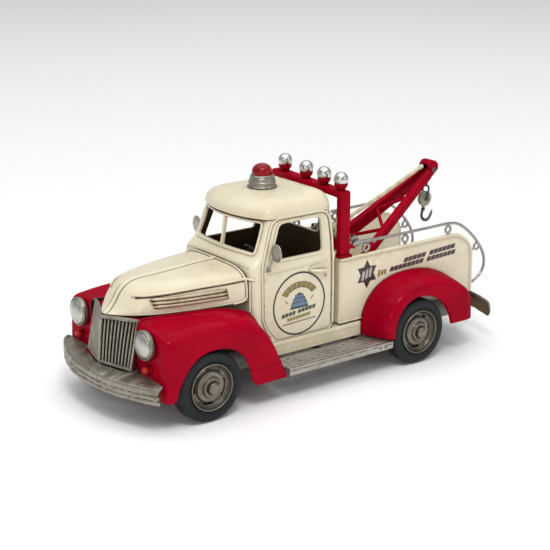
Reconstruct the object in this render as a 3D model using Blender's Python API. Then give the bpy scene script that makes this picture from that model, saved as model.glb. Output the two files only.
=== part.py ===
"""Toy tow truck in painted sheet metal: a 1940s-style pickup cab with a towing boom in its bed.

Design frame, in millimetres: +X is the nose, +Y the driver's (left) side, +Z up, and the floor is
z = 0. X is first measured from the middle of the wheelbase, and SHIFT_X then moves everything so
that the whole truck is centred on the origin. Every object's own origin lies on the axis that the
piece turns about, or at a natural centre of a fixed piece.
"""

import math

import bmesh
import bpy
import numpy as np
from mathutils import Vector

MM = 0.001
GAP = 0.3  # clearance between pieces that touch on the real toy
SHEET = 1.2  # thickness of the pressed sheet
SHIFT_X = 14.5  # from the middle of the wheelbase to the middle of the whole length

# Running gear
AXLE_X = 90.0  # each axle is this far from the middle of the wheelbase
WHEEL_R = 24.0
TYRE_IN, TYRE_OUT = 48.6, 62.6
RIM_R = 16.0
AXLE_R = 1.6
AXLE_END = 62.9

# Body
BODY_Y = 40.5  # half width of cab and bed
FENDER_Y = 63.2  # half width over the fenders
CAB_FRONT, CAB_REAR = 43.8, -28.4
FLOOR_Z = 34.6
BELT_Z = 88.0
CAB_TOP = 119.6
ROOF_TOP = 132.6
BED_FRONT, BED_REAR = -32.0, -161.5
BED_TOP = 82.2
BED_FLOOR = 45.0
RAIL_Z = 92.0

# Towing gear
BAR_X = -38.0
WINCH = (-57.6, 88.4)
HEAD_PIN = (-152.2, 124.2)
BLOCK_PIN = (-149.0, 101.5)
ROPE_R = 1.45

LAMP_YS = (-29.1, -4.4, 15.8, 34.4)

# ------------------------------------------------------------------ materials

COLOURS = {
    "cream_paint": ((0.72, 0.64, 0.45), 0.38, 0.0),
    "red_paint": ((0.45, 0.008, 0.02), 0.25, 0.0),
    "pewter": ((0.42, 0.40, 0.36), 0.38, 0.9),
    "chrome": ((0.75, 0.75, 0.74), 0.12, 1.0),
    "lens_silver": ((0.55, 0.55, 0.52), 0.3, 0.85),
    "black_rubber": ((0.018, 0.019, 0.022), 0.55, 0.0),
    "dark_steel": ((0.10, 0.10, 0.10), 0.45, 0.7),
    "grey_steel": ((0.28, 0.28, 0.26), 0.5, 0.7),
    "red_lens": ((0.55, 0.01, 0.03), 0.12, 0.0),
    "amber_lens": ((0.60, 0.06, 0.02), 0.2, 0.0),
    "rope_fibre": ((0.70, 0.60, 0.42), 0.9, 0.0),
    "bakelite": ((0.03, 0.028, 0.025), 0.4, 0.0),
    "brown_wash": ((0.09, 0.045, 0.02), 0.6, 0.2),
    "block_grey": ((0.48, 0.46, 0.40), 0.45, 0.5),
}


def material(name):
    found = bpy.data.materials.get(name)
    if found:
        return found
    rgb, rough, metal = COLOURS[name]
    made = bpy.data.materials.new(name)
    made.use_nodes = True
    shader = made.node_tree.nodes["Principled BSDF"]
    shader.inputs["Base Color"].default_value = (*rgb, 1.0)
    shader.inputs["Roughness"].default_value = rough
    shader.inputs["Metallic"].default_value = metal
    made.diffuse_color = (*rgb, 1.0)
    return made


# ------------------------------------------------------------------ mesh building


def build(name, shape, colour, origin=(0.0, 0.0, 0.0), angle=40.0):
    """An object from (points in design mm, faces), its own origin at `origin` in design mm."""
    points, faces = shape
    mesh = bpy.data.meshes.new(name)
    work = bmesh.new()
    made = [work.verts.new(((p[0] - origin[0]) * MM, (p[1] - origin[1]) * MM, (p[2] - origin[2]) * MM)) for p in points]
    for face in faces:
        corners = []
        for index in face:
            if made[index] not in corners:
                corners.append(made[index])
        if len(corners) > 2:
            work.faces.new(corners)
    bmesh.ops.recalc_face_normals(work, faces=work.faces)
    work.to_mesh(mesh)
    work.free()
    mesh.polygons.foreach_set("use_smooth", [True] * len(mesh.polygons))
    mesh.set_sharp_from_angle(angle=math.radians(angle))
    obj = bpy.data.objects.new(name, mesh)
    obj.location = ((origin[0] + SHIFT_X) * MM, origin[1] * MM, origin[2] * MM)
    bpy.context.scene.collection.objects.link(obj)
    mesh.materials.append(material(colour))
    return obj


def boolean(obj, tools, operation, angle=40.0):
    """Joins or cuts `tools` with `obj`, and then removes the tools."""
    for tool in tools:
        step = obj.modifiers.new("step", "BOOLEAN")
        step.operation = operation
        step.solver = "EXACT"
        step.object = tool
    bpy.context.view_layer.update()
    graph = bpy.context.evaluated_depsgraph_get()
    result = bpy.data.meshes.new_from_object(obj.evaluated_get(graph))
    obj.modifiers.clear()
    old = obj.data
    name = old.name
    result.name = name + "_joined"
    obj.data = result
    bpy.data.meshes.remove(old)
    keep = obj.data.materials[0]
    obj.data.materials.clear()
    obj.data.materials.append(keep)
    work = bmesh.new()
    work.from_mesh(obj.data)
    bmesh.ops.remove_doubles(work, verts=work.verts, dist=2e-6)
    bmesh.ops.dissolve_degenerate(work, edges=work.edges, dist=2e-6)
    for face in work.faces:
        face.material_index = 0
        face.smooth = True
    work.to_mesh(obj.data)
    work.free()
    obj.data.set_sharp_from_angle(angle=math.radians(angle))
    for tool in tools:
        bpy.data.objects.remove(tool, do_unlink=True)
    return obj


def box(x0, x1, y0, y1, z0, z1):
    points = [(x, y, z) for x in (x0, x1) for y in (y0, y1) for z in (z0, z1)]
    return points, [(0, 1, 3, 2), (4, 6, 7, 5), (0, 4, 5, 1), (2, 3, 7, 6), (0, 2, 6, 4), (1, 5, 7, 3)]


def loft(loops):
    """Closed loops of equal length joined one to the next, with a flat cap at each end."""
    count = len(loops[0])
    points = [p for loop in loops for p in loop]
    faces = []
    for i in range(len(loops) - 1):
        for j in range(count):
            a, b = i * count + j, i * count + (j + 1) % count
            faces.append((a, b, b + count, a + count))
    faces.append(tuple(range(count)))
    faces.append(tuple(range((len(loops) - 1) * count, len(loops) * count)))
    return points, faces


def prism(outline, axis, low, high):
    """A flat outline pushed along an axis. The outline holds (x, z) for "y", (y, z) for "x" and (x, y) for "z"."""
    put = {
        "x": lambda a, b, c: (c, a, b),
        "y": lambda a, b, c: (a, c, b),
        "z": lambda a, b, c: (a, b, c),
    }[axis]
    return loft([[put(a, b, level) for a, b in outline] for level in (low, high)])


def sheet(grid, thick):
    """A closed sheet from a grid of outer points, with `thick` taken off inwards (negative: outwards)."""
    rows, cols = len(grid), len(grid[0])
    outer = np.array(grid, float)
    along = np.gradient(outer, axis=0)
    across = np.gradient(outer, axis=1)
    normal = np.cross(along, across)
    length = np.linalg.norm(normal, axis=2, keepdims=True)
    normal = normal / np.maximum(length, 1e-9)
    inner = outer - normal * thick
    points = [tuple(p) for p in outer.reshape(-1, 3)] + [tuple(p) for p in inner.reshape(-1, 3)]
    half = rows * cols
    faces = []
    for i in range(rows - 1):
        for j in range(cols - 1):
            a = i * cols + j
            faces.append((a, a + 1, a + cols + 1, a + cols))
            faces.append((half + a, half + a + cols, half + a + cols + 1, half + a + 1))
    rim = [j for j in range(cols)]
    rim += [i * cols + cols - 1 for i in range(1, rows)]
    rim += [(rows - 1) * cols + j for j in range(cols - 2, -1, -1)]
    rim += [i * cols for i in range(rows - 2, 0, -1)]
    for k in range(len(rim)):
        a, b = rim[k], rim[(k + 1) % len(rim)]
        faces.append((a, half + a, half + b, b))
    return points, faces


def frames(path, closed):
    """Two directions across a path at each of its points, turned as little as possible."""
    pts = [Vector(p) for p in path]
    count = len(pts)
    tangents = []
    for i in range(count):
        if closed:
            step = pts[(i + 1) % count] - pts[i - 1]
        else:
            step = pts[min(i + 1, count - 1)] - pts[max(i - 1, 0)]
        tangents.append(step.normalized())
    side = tangents[0].orthogonal().normalized()
    result = []
    for i in range(count):
        side = (side - tangents[i] * side.dot(tangents[i])).normalized()
        result.append((side.copy(), tangents[i].cross(side).normalized()))
    return pts, result


def tube(path, radius, around=8, closed=False):
    pts, across = frames(path, closed)
    radii = radius if isinstance(radius, (list, tuple)) else [radius] * len(pts)
    points, faces = [], []
    for p, (u, v), r in zip(pts, across, radii):
        for k in range(around):
            turn = 2 * math.pi * k / around
            points.append(tuple(p + u * (r * math.cos(turn)) + v * (r * math.sin(turn))))
    count = len(pts)
    for i in range(count if closed else count - 1):
        for k in range(around):
            a, b = i * around + k, i * around + (k + 1) % around
            c, d = ((i + 1) % count) * around + (k + 1) % around, ((i + 1) % count) * around + k
            faces.append((a, b, c, d))
    if not closed:
        faces.append(tuple(range(around)))
        faces.append(tuple(range((count - 1) * around, count * around)))
    return points, faces


def lathe(profile, axis, centre, around=24, ring=False, slots=None):
    """A profile of (radius, distance along the axis) turned about an axis through `centre`.

    A ring profile is a closed loop off the axis. Otherwise the profile runs from the axis back to it.
    `slots` = (front pair, back pair, open sectors) leaves windows through a ring profile.
    """
    put = {
        "x": lambda r, a, c, s: (centre[0] + a, centre[1] + r * c, centre[2] + r * s),
        "y": lambda r, a, c, s: (centre[0] + r * c, centre[1] + a, centre[2] + r * s),
        "z": lambda r, a, c, s: (centre[0] + r * c, centre[1] + r * s, centre[2] + a),
    }[axis]
    points, index = [], {}
    for j, (r, a) in enumerate(profile):
        for k in range(around):
            if r == 0.0 and k:
                index[j, k] = index[j, 0]
                continue
            turn = 2 * math.pi * k / around
            index[j, k] = len(points)
            points.append(put(r, a, math.cos(turn), math.sin(turn)))
    faces = []
    count = len(profile)
    steps = count if ring else count - 1
    open_bands = ()
    if slots:
        front, back, sectors = slots
        open_bands = (front[0], back[0])
    for j in range(steps):
        n = (j + 1) % count
        for k in range(around):
            m = (k + 1) % around
            if slots and j in open_bands and k in sectors:
                continue
            faces.append((index[j, k], index[j, m], index[n, m], index[n, k]))
    if slots:
        (f0, f1), (b0, b1), sectors = slots
        for k in sectors:
            m = (k + 1) % around
            faces.append((index[f0, k], index[f0, m], index[b1, m], index[b1, k]))
            faces.append((index[f1, k], index[f1, m], index[b0, m], index[b0, k]))
            if (k - 1) % around not in sectors:
                faces.append((index[f0, k], index[f1, k], index[b0, k], index[b1, k]))
            if m not in sectors:
                faces.append((index[f0, m], index[f1, m], index[b0, m], index[b1, m]))
    return points, faces


def mirrored(shape):
    points, faces = shape
    return [(x, -y, z) for x, y, z in points], faces


def curve_through(knots, count):
    """`count` points, evenly spaced by length, on a smooth curve through the knots."""
    knots = [np.array(k, float) for k in knots]
    dense = []
    for i in range(len(knots) - 1):
        p0 = knots[max(i - 1, 0)]
        p1, p2 = knots[i], knots[i + 1]
        p3 = knots[min(i + 2, len(knots) - 1)]
        for step in range(16):
            t = step / 16
            dense.append(
                0.5 * (2 * p1 + (p2 - p0) * t + (2 * p0 - 5 * p1 + 4 * p2 - p3) * t * t + (3 * p1 - p0 - 3 * p2 + p3) * t**3)
            )
    dense.append(knots[-1])
    dense = np.array(dense)
    run = np.concatenate([[0], np.cumsum(np.linalg.norm(np.diff(dense, axis=0), axis=1))])
    want = np.linspace(0, run[-1], count)
    return [tuple(float(np.interp(w, run, dense[:, a])) for a in range(dense.shape[1])) for w in want]


def polyline(knots, count):
    """`count` points spread evenly along straight runs between knots."""
    knots = np.array(knots, float)
    run = np.concatenate([[0], np.cumsum(np.linalg.norm(np.diff(knots, axis=0), axis=1))])
    want = np.linspace(0, run[-1], count)
    return [tuple(float(np.interp(w, run, knots[:, a])) for a in range(knots.shape[1])) for w in want]


def table(x, pairs):
    return float(np.interp(x, [p[0] for p in pairs], [p[1] for p in pairs]))


def smooth_table(x, pairs):
    """A value read from a table with a gentle curve between its entries."""
    xs, ys = [p[0] for p in pairs], [p[1] for p in pairs]
    if x <= xs[0]:
        return ys[0]
    if x >= xs[-1]:
        return ys[-1]
    i = max(k for k in range(len(xs) - 1) if xs[k] <= x)
    slopes = []
    for k in (i, i + 1):
        if k == 0:
            slopes.append((ys[1] - ys[0]) / (xs[1] - xs[0]))
        elif k == len(xs) - 1:
            slopes.append((ys[-1] - ys[-2]) / (xs[-1] - xs[-2]))
        else:
            left = (ys[k] - ys[k - 1]) / (xs[k] - xs[k - 1])
            right = (ys[k + 1] - ys[k]) / (xs[k + 1] - xs[k])
            slopes.append(0.0 if left * right <= 0 else 2 * left * right / (left + right))
    width = xs[i + 1] - xs[i]
    t = (x - xs[i]) / width
    return (
        ys[i] * (2 * t**3 - 3 * t**2 + 1)
        + slopes[0] * width * (t**3 - 2 * t**2 + t)
        + ys[i + 1] * (3 * t**2 - 2 * t**3)
        + slopes[1] * width * (t**3 - t**2)
    )


# ------------------------------------------------------------------ running gear


def make_wheel(side, x, end):
    """Tyre, stamped rim and axle cap of one wheel. `side` is +1 on the left of the truck."""
    centre = (x, 0.0, WHEEL_R)
    label = f"{end}_{'left' if side > 0 else 'right'}"
    low, high = TYRE_IN, TYRE_OUT
    tyre = [
        (RIM_R + GAP, low + 1.4),
        (RIM_R + 2.2, low + 0.2),
        (20.6, low),
        (22.9, low + 0.9),
        (WHEEL_R, low + 3.0),
        (WHEEL_R, high - 3.0),
        (22.9, high - 0.9),
        (20.6, high),
        (RIM_R + 2.2, high - 0.2),
        (RIM_R + GAP, high - 1.4),
    ]
    rim = [
        (1.9, 55.0),
        (3.3, 55.0),
        (3.3, 58.6),
        (10.2, 57.4),
        (13.0, 57.4),
        (14.9, 60.4),
        (14.9, low + 2.2),
        (RIM_R, low + 2.2),
        (RIM_R, 62.6),
        (15.3, 63.0),
        (13.2, 58.8),
        (10.9, 58.8),
        (10.2, 60.9),
        (7.2, 61.3),
        (6.6, 63.2),
        (1.9, 63.4),
    ]
    cap = [(0.0, 63.75), (4.2, 63.75), (4.3, 65.2), (3.9, 66.0), (2.4, 66.3), (0.0, 66.4)]
    turn = lambda rows: [(r, side * a) for r, a in rows]
    build(f"tyre_{label}", lathe(turn(tyre), "y", centre, 26, ring=True), "black_rubber", centre, 50)
    sectors = [k for k in range(28) if (k + 2) % 7 < 4]
    build(f"rim_{label}", lathe(turn(rim), "y", centre, 28, ring=True, slots=((10, 11), (3, 4), sectors)), "pewter", centre, 35)
    build(f"hub_cap_{label}", lathe(turn(cap), "y", centre, 14), "pewter", centre, 50)


def start():
    for obj in list(bpy.data.objects):
        bpy.data.objects.remove(obj, do_unlink=True)


def make_running_gear():
    for end, x in (("front", AXLE_X), ("rear", -AXLE_X)):
        for side in (1, -1):
            make_wheel(side, x, end)
        axle = [(0.0, -AXLE_END), (AXLE_R, -AXLE_END), (AXLE_R, AXLE_END), (0.0, AXLE_END)]
        build(f"{end}_axle", lathe(axle, "y", (x, 0, WHEEL_R), 16), "grey_steel", (x, 0, WHEEL_R), 50)
    wide, web = 36.0, 1.4
    channel = [
        (-wide, 18.6), (-wide, 33.2), (wide, 33.2), (wide, 18.6),
        (wide - web, 18.6), (wide - web, 33.2 - web), (-wide + web, 33.2 - web), (-wide + web, 18.6),
    ]
    chassis = build("chassis", prism(channel, "x", -158.0, 121.0), "grey_steel")
    cutters = []
    for x in (AXLE_X, -AXLE_X):
        bore = [(0.0, -50.0), (AXLE_R + 0.35, -50.0), (AXLE_R + 0.35, 50.0), (0.0, 50.0)]
        cutters.append(build("bore", lathe(bore, "y", (x, 0, WHEEL_R), 16), "grey_steel"))
    boolean(chassis, cutters, "DIFFERENCE", 35)


# ------------------------------------------------------------------ hood and nose

HOOD_WIDTH = [(44.0, 38.6), (60.0, 37.4), (80.0, 34.0), (96.0, 30.4), (106.0, 27.4), (113.0, 24.6), (119.0, 20.8), (124.0, 15.6), (128.0, 10.2), (131.0, 5.2), (133.0, 0.5)]
HOOD_TOP = [(44.0, 88.7), (62.0, 88.4), (76.0, 87.5), (92.0, 86.7), (104.0, 86.3), (111.0, 85.5), (116.5, 83.4), (121.0, 79.2), (124.6, 73.6), (128.4, 69.2), (131.6, 67.1), (133.0, 66.6)]
HOOD_BASE = [(44.0, 67.6), (116.0, 67.6), (122.0, 67.3), (128.0, 66.8), (133.0, 66.5)]
HOOD_FULLNESS = [(44.0, 4.2), (70.0, 4.0), (92.0, 3.6), (104.0, 2.8), (114.0, 2.1), (122.0, 1.7), (133.0, 1.5)]


def hood_point(x, turn, lift=0.0):
    """A point on the hood: turn 0 is the left lower edge, pi/2 the middle of the top."""
    width = smooth_table(x, HOOD_WIDTH) + lift
    base = smooth_table(x, HOOD_BASE)
    rise = max(smooth_table(x, HOOD_TOP) - base, 0.3) + lift
    power = 2.0 / smooth_table(x, HOOD_FULLNESS)
    c, s = math.cos(turn), math.sin(turn)
    return (x, width * math.copysign(abs(c) ** power, c), base + rise * abs(s) ** power)


def hood_grid(stations, across):
    return [[hood_point(x, math.pi * j / (across - 1)) for j in range(across)] for x in stations]


def make_hood():
    stations = [44.4, 60, 78, 94, 106, 113, 118, 122, 125.4, 128.4, 130.8, 132.7]
    hood = build("hood", sheet(hood_grid(stations, 21), -SHEET), "cream_paint", (80, 0, 78), 50)
    crest = [(x, 0.0, hood_point(x, math.pi / 2)[2] + 0.1) for x in (45.5, 68, 91, 103, 110, 115, 119, 122, 125, 128, 131.2)]
    strip = build("strip", tube(crest, 1.15, 6), "cream_paint")
    boolean(hood, [strip], "UNION", 50)
    for side, label in ((1, "left"), (-1, "right")):
        mirror = (lambda s: s) if side > 0 else mirrored
        rod = [hood_side(x, z, 1.3) for x, z in ((118.0, 78.6), (108.0, 79.6), (92.0, 80.8), (76.0, 81.6), (60.0, 82.0), (45.6, 82.2))]
        build(f"hood_trim_{label}", mirror(tube(curve_through(rod, 9), 0.95, 6)), "cream_paint", (82, side * 30, 80), 60)
        rows = []
        for k in range(7):
            t = k / 6
            x = 112.0 - 51.0 * t
            top, low = 77.4 + 0.2 * t, 71.3 + 0.4 * t
            count = 13
            outer, inner = [], []
            for m in range(count):
                v = m / (count - 1)
                z = top + (low - top) * v
                bump = max(0.0, math.cos(2 * math.pi * (v * 3 - 0.5))) ** 0.8
                outer.append(hood_side(x, z, 0.75 + 1.25 * bump))
                inner.append(hood_side(x, z, 0.3))
            rows.append(outer + inner[::-1])
        build(f"hood_louvres_{label}", mirror(loft(rows)), "cream_paint", (86, side * 34, 74), 50)


def hood_side(x, z, out):
    """The point on the left side of the hood at this x and height, stood off by `out`."""
    base = smooth_table(x, HOOD_BASE)
    rise = smooth_table(x, HOOD_TOP) - base
    power = 2.0 / smooth_table(x, HOOD_FULLNESS)
    s = min(max((z - base) / rise, 0.0), 0.999) ** (1 / power)
    turn = math.asin(s)
    here = np.array(hood_point(x, turn))
    step = np.array(hood_point(x, turn + 0.01)) - np.array(hood_point(x, turn - 0.01))
    ahead = np.array(hood_point(x + 0.5, turn)) - np.array(hood_point(x - 0.5, turn))
    normal = np.cross(step, ahead)
    normal /= np.linalg.norm(normal)
    if normal[1] < 0:
        normal = -normal
    return tuple(here + normal * out)


GRILLE_TOP = [(0.0, 133.5), (26.0, 122.7)]
GRILLE_LOW = [(0.0, 136.6), (26.0, 129.6)]


def make_nose():
    """The prow-shaped grille: nine upright bars on each side of a centre bar, under a top rail."""
    bars = 9
    half = []
    for k in range(bars + 1):
        y = 1.3 + k * 2.72
        if k == 0:
            half += [(0.0, 1.1), (0.9, 1.0), (1.25, 0.0)]
        else:
            half += [(y - 1.0, 0.0), (y - 0.65, 0.95), (y + 0.65, 0.95), (y + 1.0, 0.0)]
    half.append((27.0, 0.0))
    outline = [(-y, p) for y, p in half[::-1] if y > 0] + half
    loops = []
    for z, knots in ((34.4, GRILLE_LOW), (64.6, GRILLE_TOP)):
        loop = []
        for y, proud in outline:
            loop.append((table(abs(y), knots) + proud, y, z + 0.05 * abs(y) * (z > 60)))
        for y, _ in outline[::-1]:
            loop.append((table(abs(y), knots) - 1.0, y, z + 0.05 * abs(y) * (z > 60)))
        loops.append(loop)
    grille = build("grille", loft(loops), "pewter", (130, 0, 50), 35)
    rail = [(table(abs(y), GRILLE_TOP) + 0.4, y, 64.2 + 0.05 * abs(y)) for y in (-28.0, -14.0, -2.0, 0.0, 2.0, 14.0, 28.0)]
    loops = []
    for x, y, z in rail:
        loops.append([(x - 1.6, y, z - 1.3), (x + 1.0, y, z - 1.3), (x + 1.6, y, z - 0.6), (x + 1.6, y, z + 0.5), (x + 0.6, y, z + 1.1), (x - 1.6, y, z + 1.1)])
    top = build("rail", loft(loops), "pewter")
    boolean(grille, [top], "UNION", 35)


def bumper_x(y, middle, ends, half):
    return middle + (ends - middle) * (abs(y) / half) ** 2.1


def make_bumpers():
    loops = []
    for k in range(21):
        y = -63.4 + 126.8 * k / 20
        face = bumper_x(y, 147.0, 129.4, 63.4)
        end = abs(y) / 63.4
        back = 126.2 if abs(y) > 29.5 else table(abs(y), [(0.0, 138.6), (28.0, 131.4), (29.5, 126.2)])
        back = min(back, face - 1.6)
        top = 31.6 - 0.4 * end
        low = 20.6
        apron = max(top + (33.4 - top) * min(1.0, (face - back) / 6.0), top - 1.0)
        loops.append(
            [
                (face - 1.8, y, low),
                (face - 0.4, y, low),
                (face, y, low + 1.0),
                (face - 0.7, y, low + 3.2),
                (face - 0.1, y, low + 4.2),
                (face - 0.7, y, low + 6.4),
                (face - 0.1, y, low + 7.4),
                (face - 0.6, y, top - 0.8),
                (face - 1.6, y, top),
                (back, y, apron),
                (back, y, apron - 1.2),
                (face - 2.4, y, top - 1.6),
                (face - 1.9, y, top - 3.0),
            ]
        )
    build("front_bumper", loft(loops), "pewter", (138, 0, 26), 35)
    loops = []
    for k in range(17):
        y = -60.6 + 121.2 * k / 16
        face = bumper_x(y, -176.0, -163.6, 60.6)
        low, top = 19.4, 31.4
        loops.append(
            [
                (face + 1.6, y, low),
                (face + 0.4, y, low),
                (face, y, low + 1.4),
                (face + 0.5, y, low + 4.0),
                (face, y, low + 5.2),
                (face + 0.5, y, low + 7.6),
                (face, y, top - 1.6),
                (face + 0.5, y, top),
                (face + 2.4, y, top),
                (face + 2.4, y, top - 1.2),
                (face + 1.6, y, top - 2.0),
            ]
        )
    rear = build("rear_bumper", loft(loops), "pewter", (-170, 0, 26), 35)
    arms = [build("arm", box(-174.6, -158.6, s * 20 - 3, s * 20 + 3, 23.0, 27.4), "pewter") for s in (1, -1)]
    boolean(rear, arms, "UNION", 35)


def make_front_lights():
    for side, label in ((1, "left"), (-1, "right")):
        centre = (0.0, side * 42.2, 55.2)
        lamp = [
            (0.0, 125.2), (9.2, 125.2), (10.4, 126.2), (10.4, 127.6), (8.6, 128.7),
            (8.3, 128.2), (6.4, 129.6), (3.4, 130.8), (0.0, 131.2),
        ]
        build(f"headlight_{label}", lathe(lamp, "x", centre, 24), "lens_silver", (125.0, side * 42.2, 55.2), 40)
        ball = [(0.0, 125.2), (1.4, 125.2), (1.4, 126.0)]
        for k in range(1, 6):
            turn = math.pi * (0.16 + 0.84 * k / 5)
            ball.append((2.5 * math.sin(turn) if k < 5 else 0.0, 128.1 - 2.5 * math.cos(turn)))
        build(f"marker_light_{label}", lathe(ball, "x", (0.0, side * 43.4, 38.8), 12), "amber_lens", (125.0, side * 43.4, 38.8), 50)


# ------------------------------------------------------------------ fenders


def fillet(a, corner, b, reach, count):
    """Points that leave `a`, turn smoothly near `corner`, and arrive at `b`."""
    a, corner, b = (np.array(p, float) for p in (a, corner, b))
    back, ahead = a - corner, b - corner
    la, lb = np.linalg.norm(back), np.linalg.norm(ahead)
    start = corner + back / la * min(reach, la * 0.48)
    stop = corner + ahead / lb * min(reach, lb * 0.48)
    turn = [
        tuple(start * (1 - t) ** 2 + corner * 2 * t * (1 - t) + stop * t * t)
        for t in (k / (count - 1) for k in range(count))
    ]
    return turn


FF_LIP = [(118.8, 20.4), (116.2, 27.0), (112.4, 34.6), (107.0, 42.0), (99.6, 47.4), (91.0, 49.8), (80.6, 49.4), (72.2, 46.6), (65.8, 41.6), (61.6, 35.2), (59.4, 29.0), (57.4, 21.4), (53.4, 17.4)]
FF_EDGE = [(124.6, 20.4), (124.8, 30.0), (124.9, 42.0), (124.6, 52.0), (123.4, 60.2), (116.0, 63.2), (100.0, 65.2), (84.0, 66.0), (70.0, 64.6), (56.6, 60.2), (46.6, 52.0), (37.0, 39.0), (28.8, 17.4)]
FF_BODY = [(124.6, 30.0, 20.4), (124.8, 29.9, 30.0), (124.9, 29.8, 42.0), (124.8, 29.6, 52.0), (124.2, 29.8, 65.6), (116.0, 26.9, 66.5), (107.0, 29.4, 66.9), (96.0, 32.4, 67.0), (84.0, 34.9, 67.0), (70.0, 37.4, 66.4), (57.0, 41.0, 64.2), (45.0, 41.6, 58.6), (35.0, 41.8, 42.0), (29.4, 42.4, 17.4)]


def front_fender_grid(along, across):
    lip = curve_through(FF_LIP, along)
    edge = curve_through(FF_EDGE, along)
    body = curve_through(FF_BODY, along)
    rows = []
    for k, (a, e, b) in enumerate(zip(lip, edge, body)):
        p0 = (a[0], FENDER_Y - 0.2, a[1])
        p1 = (e[0], FENDER_Y - 0.6, e[1])
        p2 = b
        reach = smooth_table(k / (along - 1), [(0.0, 6.5), (0.3, 9.0), (0.6, 11.0), (0.85, 8.0), (1.0, 1.6)])
        turn = fillet(p0, p1, p2, reach, across - 5)
        first = [tuple(np.array(p0) * (1 - t) + np.array(turn[0]) * t) for t in (0.0, 0.5)]
        last = [tuple(np.array(turn[-1]) * (1 - t) + np.array(p2) * t) for t in (0.34, 0.67, 1.0)]
        rows.append(first + turn + last)
    return rows


RF_LIP = [(-65.6, 24.2), (-66.4, 32.0), (-69.6, 40.0), (-76.0, 47.0), (-84.4, 50.8), (-94.0, 51.2), (-103.4, 48.4), (-111.0, 43.0), (-116.4, 36.0), (-119.4, 30.0), (-121.2, 24.2)]
RF_EDGE = [(-61.6, 24.2), (-61.4, 33.0), (-64.4, 43.4), (-72.0, 53.0), (-83.0, 58.6), (-96.0, 60.2), (-110.0, 59.2), (-123.0, 55.0), (-134.6, 48.4), (-142.8, 40.8), (-144.2, 24.2)]
RF_BODY = [(-53.4, 24.2), (-53.6, 35.0), (-58.0, 47.0), (-68.0, 57.0), (-81.0, 62.0), (-96.0, 63.4), (-111.0, 62.2), (-125.0, 57.8), (-137.0, 50.8), (-144.6, 41.8), (-145.6, 24.2)]


def rear_fender_grid(along, across):
    lip = curve_through(RF_LIP, along)
    edge = curve_through(RF_EDGE, along)
    body = curve_through(RF_BODY, along)
    rows = []
    for a, e, b in zip(lip, edge, body):
        p0 = (a[0], FENDER_Y - 0.6, a[1])
        p1 = (e[0], FENDER_Y - 0.2, e[1])
        p2 = (b[0], BODY_Y + 0.5, b[1])
        turn = fillet(p0, p1, p2, 13.0, across - 3)
        first = [p0]
        last = [tuple(np.array(turn[-1]) * (1 - t) + np.array(p2) * t) for t in (0.5, 1.0)]
        rows.append(first + turn + last)
    return rows


def make_fenders():
    for side, label in ((1, "left"), (-1, "right")):
        mirror = (lambda s: s) if side > 0 else mirrored
        build(f"front_fender_{label}", mirror(sheet(front_fender_grid(24, 10), SHEET)), "red_paint", (84, side * 52, 50), 50)
        build(f"rear_fender_{label}", mirror(sheet(rear_fender_grid(20, 9), -SHEET)), "red_paint", (-97, side * 52, 44), 50)


def make_running_boards():
    profile = [(42.0, 21.4), (42.0, 22.6)]
    for k in range(6):
        y = 43.6 + k * 3.1
        profile += [(y, 22.55), (y + 0.5, 23.3), (y + 1.5, 23.3), (y + 2.0, 22.5)]
    profile += [(62.8, 22.5), (63.6, 21.8), (63.6, 17.6), (62.4, 17.6), (62.4, 21.2)]
    for side, label in ((1, "left"), (-1, "right")):
        mirror = (lambda s: s) if side > 0 else mirrored
        build(f"running_board_{label}", mirror(prism(profile, "x", -63.6, 28.2)), "pewter", (-16, side * 52, 22), 35)


def make_sills():
    """One folded tray: a floor under cab and bed whose sides hang down as the sills."""
    top, low, wide, web = 34.3, 23.9, 41.3, 0.8
    tray = [
        (wide, low), (wide, top), (-wide, top), (-wide, low),
        (-wide + web, low), (-wide + web, top - web), (wide - web, top - web), (wide - web, low),
    ]
    build("sill_tray", prism(tray, "x", -51.8, 36.0), "cream_paint", (-8, 0, 34), 35)


# ------------------------------------------------------------------ cab

CAB_SIDE = [(34.6, 40.6), (60.0, 41.0), (84.0, 40.7), (88.0, 40.4), (96.0, 39.8), (108.0, 38.6), (119.6, 37.4)]
CAB_NOSE = [(34.6, 43.8), (89.0, 43.8), (92.5, 42.0), (96.0, 39.2), (118.0, 35.2), (119.6, 34.9)]
CAB_CORNER = [(34.6, 43.0), (88.0, 43.0), (92.5, 38.8), (96.0, 35.6), (118.0, 27.0), (119.6, 26.6)]
CAB_BACK = [(34.6, -28.4), (100.0, -28.2), (119.6, -27.2)]


def cab_outline(z, inset=0.0, corner=8):
    """The cab's plan at height z, as a loop of points that starts at the middle of the nose."""
    side = table(z, CAB_SIDE) - inset
    nose = table(z, CAB_NOSE) - inset
    edge = table(z, CAB_CORNER) - inset
    back = table(z, CAB_BACK) + inset
    bend = max(4.5 - inset, 1.0)
    half = []
    for t in (0.0, 0.3, 0.6, 0.85):
        y = (side - bend) * t
        half.append((nose + (edge - nose) * t**2, y))
    for k in range(corner):
        turn = math.pi / 2 * k / (corner - 1)
        half.append((edge - bend + bend * math.cos(turn), side - bend + bend * math.sin(turn)))
    half.append((0.0, side))
    for k in range(corner):
        turn = math.pi / 2 * k / (corner - 1)
        half.append((back + bend - bend * math.sin(turn), side - bend + bend * math.cos(turn)))
    half.append((back, 0.0))
    right = [(x, -y) for x, y in half[1:-1][::-1]]
    return [(x, y, z) for x, y in half + right]


def cab_block(levels, inset=0.0):
    return loft([cab_outline(z, inset) for z in levels])


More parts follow.
